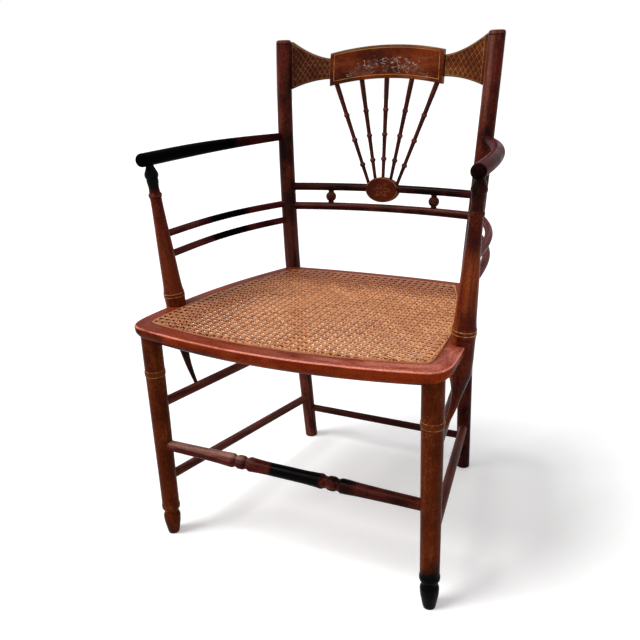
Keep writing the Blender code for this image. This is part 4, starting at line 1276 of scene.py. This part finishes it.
def buildSpindles():
    look = spindleLook
    radius = look["radius"]
    ring = look["ring"]
    ringHalf = look["width"]
    halfWide = backLook["medallion"][0] / 2
    halfTall = backLook["medallion"][1] / 2
    hubZ = chair["upperRail"] - backLook["drop"]
    fanZ = chair["upperRail"] - look["fanDrop"]
    for index in range(5):
        placeX = (index - 2) * look["spacing"]
        topZ = tabletEdge(placeX)
        # the spindle's line leaves the medallion's oval where a quadratic in the height is zero
        slope = placeX / (topZ - fanZ)
        hubX = slope * (hubZ - fanZ)
        a = (slope / halfWide) ** 2 + (1 / halfTall) ** 2
        b = 2 * slope * hubX / halfWide ** 2
        c = (hubX / halfWide) ** 2 - 1
        up = (-b + math.sqrt(b * b - 4 * a * c)) / (2 * a)
        foot = backPoint(hubX + slope * up, hubZ + up)
        head = backPoint(placeX, topZ, tabletLook["thick"] / 2 - tabletLook["ahead"])
        length = (head - foot).length
        steps = [(look["tip"], -look["foot"]), (look["tip"], look["foot"])]
        for share in look["ringsAt"]:
            z = length * share
            below = radius * (0.73 + share * 0.27)
            above = look["tip"] * (1 + share / 2.3)
            steps += [(below, z - ringHalf * 1.6), (ring - 0.0004, z - ringHalf * 0.55), (ring, z),
                      (ring - 0.0004, z + ringHalf * 0.55), (above, z + ringHalf * 1.5)]
        steps += [(radius, length - 0.002), (radius, length + look["head"])]

        def wear(x, y, z, foot=foot, ahead=(head - foot).normalized()):
            # the rings are painted paler, partly rubbed and partly a painted highlight
            away = Vector((x, y, z)) - foot
            off = (away - ahead * away.dot(ahead)).length
            return 0.20 + 0.6 * ease(off, radius + 0.0001, ring - 0.0003)
        addTurned("fan_spindle_%d" % (index + 1), foot, head, steps, "darkLacquer", darkWood, 5,
                  wear=wear, dark=lambda x, y, z: 0.16, count=28)


# Crest: tablet between two wings

def plankRing(low, high, face, look):
    # (height, depth) round a plank at one place: up the front, over the top, down the back
    edge = look["round"]
    rear = face + look["thick"]
    turn = quarter(4, 1)
    rows = look["rows"]
    spots = [(low + edge + (high - low - 2 * edge) * i / rows, face) for i in range(rows + 1)]
    spots += [(high - edge * (1 - rise), face + edge * (1 - away)) for rise, away in turn]
    spots.append((high, rear - edge))
    spots += [(high - edge * (1 - away), rear - edge * (1 - rise)) for rise, away in turn]
    spots.append((low + edge, rear))
    spots += [(low + edge * (1 - rise), rear - edge * (1 - away)) for rise, away in turn]
    spots.append((low, face + edge))
    spots += [(low + edge * (1 - away), face + edge * (1 - rise)) for rise, away in turn[:-1]]
    return spots


def addPlank(node, places, edges, ends, face, look, paintName, dark, wear):
    rings = []
    marks = {"grain": [], "border": [], "flat": [], "dark": [], "wear": []}
    for x in places:
        low, high = edges(abs(x))
        spots = plankRing(low, high, face, look)
        rings.append([backPoint(x, z, behind) for z, behind in spots])
        for k, (z, behind) in enumerate(spots):
            inside = min(z - low - look["hem"], high - z - look["hem"] / 3, ends(abs(x), z))
            marks["border"].append(inside if k <= look["rows"] else -1.0)
            marks["flat"].append((x, z - low, 0))
            marks["grain"].append((z, behind, x))
            marks["dark"].append(dark(x, z - low))
            marks["wear"].append(wear(high - z))
    faces = skinRings(rings)
    if places[1] > places[0]:
        faces = [tuple(reversed(one)) for one in faces]
    addPiece(pieceName(node), flatten(rings), faces, [paintName], [node], marks)


def buildTablet():
    look = tabletLook
    places = [look["half"] * (i / 60 - 1) for i in range(121)]

    def edges(x):
        return tabletEdge(x), tabletEdge(x) + look["tall"]

    def ends(x, z):
        return look["half"] - x - look["endHem"]

    def dark(x, up):
        middle = 0.26 * fade(abs(x), 0.030, 0.100)
        return middle + 0.32 * ease(-x, 0.050, 0.100)

    def wear(fromTop):
        # a paler band along the top edge, partly rubbed and partly a painted highlight
        return 0.85 * fade(fromTop, 0.0026, 0.0042)
    addPlank("crest_tablet", places, edges, ends, -look["ahead"], look, "tabletLacquer", dark, wear)


wingLook = {
    "thick": 0.0080, "step": 0.0055, "low": 0.8205, "waist": 0.0397, "rise": 0.0348, "fall": 0.0181,
    "round": 0.0018, "rows": 26, "hem": 0.0, "endHem": 0.001, "housed": 0.004, "inPost": 0.006,
    "hidden": {"left": 0.0, "right": 0.0045},  # the post covers this much of the end
}


def wingEdge(x):
    look = wingLook
    postX = postAxis(1, look["low"] + look["waist"] / 2).x - rearPostLook["top"]
    share = min(max(0.0, (x - tabletLook["half"]) / (postX - tabletLook["half"])), 1.0)
    high = look["low"] + look["waist"] + look["rise"] * share ** 1.7
    return look["low"] - look["fall"] * share ** 2, high


def buildWings():
    look = wingLook
    inner = tabletLook["half"] - look["housed"]
    outer = postAxis(1, look["low"]).x - look["inPost"]

    def dark(x, up):
        return 0.6 * fade(up, 0.0008, 0.0026)

    def wear(fromTop):
        # a paler band along the top edge, partly rubbed and partly a painted highlight
        return 0.85 * fade(fromTop, 0.0012, 0.0034)
    for label, side in sides:
        places = [side * (inner + (outer - inner) * i / 50) for i in range(51)]

        def ends(x, z, hidden=look["hidden"][label]):
            postX = postAxis(1, z).x - rearPostRadius(z)
            return min(x - tabletLook["half"] - look["endHem"], postX - hidden - x)
        addPlank("crest_wing_" + label, places, wingEdge, ends, look["step"] - tabletLook["ahead"], look,
                 "wingLacquer" + label.title(), dark, wear)


# Painted spray of bamboo and blossom on the tablet, a plain design of its own

sprayLook = {
    "lift": 0.00018, "leaf": 0.0072, "petal": 0.0017, "stem": 0.00066, "ground": 0.014,
    "blades": 270, "bladeX": (-0.084, 0.086), "bladeRun": (0.002, 0.0075), "bladeWidth": (0.0003, 0.0006),
    "bank": (0.010, 0.012, 0.026, 0.09),  # lowest, highest at the ends, more in the middle, half length
    "clumps": 13, "firstClump": -0.066, "clumpStep": 0.0112, "low": 0.026, "taller": 0.019,
    "leaves": 9, "leafWidth": 0.14, "petalRound": 0.62,
    "blossoms": 7, "blossomX": (-0.070, 0.080), "blossomUp": (0.022, 0.040),
}


def buildSpray():
    look = sprayLook
    verts = []
    faces = []

    def addPatch(outline):
        start = len(verts)
        for x, up in outline:
            verts.append(tuple(backPoint(x, tabletEdge(x) + up, -tabletLook["ahead"] - look["lift"])))
        faces.append(tuple(reversed(range(start, start + len(outline)))))

    def addLeaf(x, up, angle, length, width):
        ahead = Vector((math.cos(angle), math.sin(angle)))
        aside = Vector((-ahead.y, ahead.x))
        outline = []
        for share, half in ((0.0, 0.1), (0.3, 1.0), (0.65, 0.7), (1.0, 0.0), (0.65, -0.7), (0.3, -1.0)):
            outline.append(Vector((x, up)) + ahead * length * share + aside * width * half / 2)
        addPatch(outline)

    def addStem(points, width):
        for one, two in zip(points, points[1:]):
            a, b = Vector(one), Vector(two)
            run = b - a
            aside = Vector((-run.y, run.x)).normalized() * width / 2
            addPatch([a - aside, b - aside, b + aside, a + aside])

    def addBlossom(x, up, size):
        petal = size * look["petalRound"]
        for k in range(5):
            angle = 2 * math.pi * k / 5 + 0.3
            middleX = x + math.cos(angle) * size
            middleUp = up + math.sin(angle) * size
            outline = []
            for n in range(6):
                turn = math.pi * n / 3
                outline.append((middleX + math.cos(turn) * petal, middleUp + math.sin(turn) * petal))
            addPatch(outline)
    # low bank of grasses, then clumps of bamboo with loose blossoms
    lowest, highest, more, half = look["bank"]
    for k in range(look["blades"]):
        x = random.uniform(*look["bladeX"])
        up = random.uniform(lowest, highest + more * (1 - (x / half) ** 2))
        lean = random.uniform(-0.5, 0.5)
        run = random.uniform(*look["bladeRun"])
        end = (x + run * math.cos(lean), up + run * math.sin(lean))
        addStem([(x, up), end], random.uniform(*look["bladeWidth"]))
    ground = look["ground"]
    for k in range(look["clumps"]):
        foot = look["firstClump"] + look["clumpStep"] * k + random.uniform(-0.003, 0.003)
        arch = math.sin(math.pi * (k + 1) / (look["clumps"] + 1))
        tall = look["low"] + look["taller"] * arch * random.uniform(0.55, 1.0)
        head = foot + random.uniform(-0.006, 0.006)
        middle = ((foot + head) / 2, (ground + tall) / 2)
        addStem([(foot, ground), middle, (head, tall)], look["stem"])
        for n in range(look["leaves"]):
            share = random.uniform(0.3, 1.0)
            turn = random.choice((0.0, math.pi)) + random.uniform(-0.7, 0.7)
            length = look["leaf"] * random.uniform(0.5, 1.0)
            x = foot + (head - foot) * share
            addLeaf(x, ground + (tall - ground) * share, turn, length, length * look["leafWidth"])
    for k in range(look["blossoms"]):
        x = random.uniform(*look["blossomX"])
        up = random.uniform(*look["blossomUp"])
        addBlossom(x, up, look["petal"] * random.uniform(0.4, 0.7))
    slots = [random.choice((0, 0, 1)) for face in faces]
    coats = ["sprayPaint", "sprayShade"]
    addPiece("tabletSpray", verts, faces, coats, [], {"grain": verts}, slots)


# Stretchers

stretcherLook = {
    "front": 0.192, "thin": 0.0106, "swell": 0.0129, "turning": 0.090, "side": 0.0087,
    "upper": (0.274, 0.262), "lower": (0.121, 0.104), "back": 0.077, "backRadius": 0.0078, "tenon": 0.004,
}


def straightLine(start, end):
    return [start.lerp(end, i / 60) for i in range(1, 60)]


def buildFrontStretcher():
    look = stretcherLook
    half = chair["legX"] - look["tenon"]
    at = look["turning"]
    thin = look["thin"]
    swell = look["swell"]
    frontZ = look["front"]
    outer = [
        (thin + 0.0010, at * 0.35), (swell - 0.0003, at - 0.028), (swell + 0.0003, at - 0.0205),
        (thin - 0.0002, at - 0.0130), (thin - 0.0002, at - 0.0105), (swell - 0.0004, at - 0.0050),
        (swell - 0.0002, at - 0.0005), (swell - 0.0004, at + 0.0035), (thin - 0.0002, at + 0.0085),
        (thin - 0.0002, at + 0.0105), (swell, at + 0.0175), (swell - 0.0002, at + 0.026),
        (swell - 0.0012, at + 0.046), (thin, (half + at) * 0.55), (thin - 0.0006, half),
    ]
    steps = [(radius, half - x) for radius, x in reversed(outer)]
    steps += [(radius, half + x) for radius, x in outer]
    foot = Vector((-half, chair["legY"], frontZ))

    def dark(x, y, z):
        middle = 1.2 * within(x, -0.035, -0.018, 0.060, 0.082)
        # painted shade on the underside
        below = 0.9 * ease(frontZ - z, 0.001, 0.007) * ease(x, -0.12, 0.06)
        above = 0.7 * ease(z - frontZ, 0.006, 0.010) * within(x, 0.03, 0.06, 0.12, 0.16)
        # painted shade in the grooves of the turnings
        groove = 0.6 * ease(swell - math.hypot(y - chair["legY"], z - frontZ), 0.0012, 0.0028)
        rightEnd = 0.44 * ease(x, 0.09, 0.12)
        return max(middle, below, above, groove * near(abs(x), at, 0.018, 0.024), rightEnd)

    def wear(x, y, z):
        # a painted highlight along the upper front, mostly on the left
        lit = ease(z - frontZ + (chair["legY"] - y) * 0.35, 0.0065, 0.0115)
        return lit * (0.72 * fade(x, -0.11, -0.05) + 0.04 * ease(x, 0.10, 0.16))
    addTurned("front_stretcher", foot, foot + Vector((1, 0, 0)), steps, "stretcherLacquer", darkWood, 6,
              dark=dark, wear=wear)


def buildStretchers():
    look = stretcherLook
    buildFrontStretcher()
    for label, side in sides:
        for level in ("upper", "lower"):
            frontZ, rearZ = look[level]
            start = Vector((side * chair["legX"], chair["legY"], frontZ))
            points = straightLine(start, postAxis(side, rearZ))
            addRound("side_stretcher_" + level + "_" + label, points, [look["side"]] * len(points),
                     "stretcherLacquer", darkWood, wear=lambda x, y, z: 0.15, count=32)
    points = straightLine(postAxis(-1, look["back"]), postAxis(1, look["back"]))
    addRound("back_stretcher", points, [look["backRadius"]] * len(points), "darkLacquer", darkWood,
             wear=lambda x, y, z: 0.1, count=32)


buildRearPosts()
buildFrontLegs()
buildArmPosts()
print("posts and legs made")
buildArms()
buildArmRails()
print("arms made")
buildSeatRails()
buildCane()
buildBinding()
print("seat made")
buildBackRails()
buildMedallion()
buildBalls()
buildSpindles()
print("back made")
buildTablet()
buildWings()
buildSpray()
print("crest made")
buildStretchers()
print("stretchers made")


# Floor, light and camera

studioLook = {
    "floor": 0.80, "pale": 0.24, "world": 0.46, "sun": 2.2, "sunAngle": 24, "sunFrom": (-0.42, -0.40, 0.82),
    "half": 14.0, "floorZ": -0.0004, "rough": 0.9,
}
white = (1, 1, 1, 1)


def shownRays(tree):
    # rays that show the background, straight, mirrored or through glass
    path = tree.nodes.new("ShaderNodeLightPath")
    shown = path.outputs["Is Camera Ray"]
    for kind in ("Is Transmission Ray", "Is Glossy Ray"):
        shown = addMath(tree, "MAXIMUM", shown, path.outputs[kind])
    return shown


def buildStudio():
    look = studioLook
    half = look["half"]
    mesh = bpy.data.meshes.new("studioFloor")
    corners = [(x * half, y * half, look["floorZ"]) for x, y in ((-1, -1), (1, -1), (1, 1), (-1, 1))]
    mesh.from_pydata(corners, [], [(0, 1, 2, 3)])
    floor = bpy.data.objects.new("studioFloor", mesh)
    bpy.context.scene.collection.objects.link(floor)
    paint, tree, surface = newPaint("floorPaint")
    shown = shownRays(tree)
    level = addRange(tree, shown, 0.0, 1.0, look["floor"], 1.0)
    pale = tree.nodes.new("ShaderNodeCombineColor")
    fill(tree, pale, {0: level, 1: level, 2: level})
    coat(tree, surface, pale.outputs["Color"], look["rough"], 0.0)
    softer = times(tree, shown, look["pale"])  # paler shadow in the picture
    fill(tree, surface, {"Emission Color": white, "Emission Strength": softer})
    mesh.materials.append(paint)
    world = bpy.data.worlds.new("studio")
    bpy.context.scene.world = world
    world.use_nodes = True
    tree = world.node_tree
    strength = addRange(tree, shownRays(tree), 0.0, 1.0, look["world"], 1.0)
    fill(tree, tree.nodes["Background"], {"Color": white, "Strength": strength})
    lamp = bpy.data.lights.new("window", "SUN")
    lamp.energy = look["sun"]
    lamp.angle = math.radians(look["sunAngle"])
    sun = bpy.data.objects.new("window", lamp)
    sun.rotation_euler = Vector(look["sunFrom"]).to_track_quat("Z", "Y").to_euler()
    bpy.context.scene.collection.objects.link(sun)


cameraLook = {
    "place": (0.561, -1.181, 0.861), "yaw": 26.9, "pitch": -19.79, "roll": -2.11, "focal": 735.0,
    "middle": (319.8, 323.1), "width": 640.0, "sensor": 36.0,
}


def buildCamera():
    look = cameraLook
    yaw, pitch, roll = (math.radians(look[key]) for key in ("yaw", "pitch", "roll"))
    ahead = Vector((-math.sin(yaw) * math.cos(pitch), math.cos(yaw) * math.cos(pitch), math.sin(pitch)))
    level = ahead.cross(Vector((0, 0, 1))).normalized()
    upright = level.cross(ahead)
    right = level * math.cos(roll) + upright * math.sin(roll)
    up = upright * math.cos(roll) - level * math.sin(roll)
    data = bpy.data.cameras.new("photoCamera")
    data.sensor_width = look["sensor"]
    data.lens = look["focal"] / look["width"] * look["sensor"]
    data.shift_x = (look["width"] / 2 - look["middle"][0]) / look["width"]
    data.shift_y = (look["middle"][1] - look["width"] / 2) / look["width"]
    camera = bpy.data.objects.new("photoCamera", data)
    place = Vector(look["place"]) + Vector((0, backShift, 0))
    rows = [(right[i], up[i], -ahead[i], place[i]) for i in range(3)] + [(0, 0, 0, 1)]
    camera.matrix_world = Matrix(rows)
    bpy.context.scene.collection.objects.link(camera)
    bpy.context.scene.camera = camera


buildStudio()
buildCamera()
bpy.context.scene.view_settings.view_transform = "Standard"
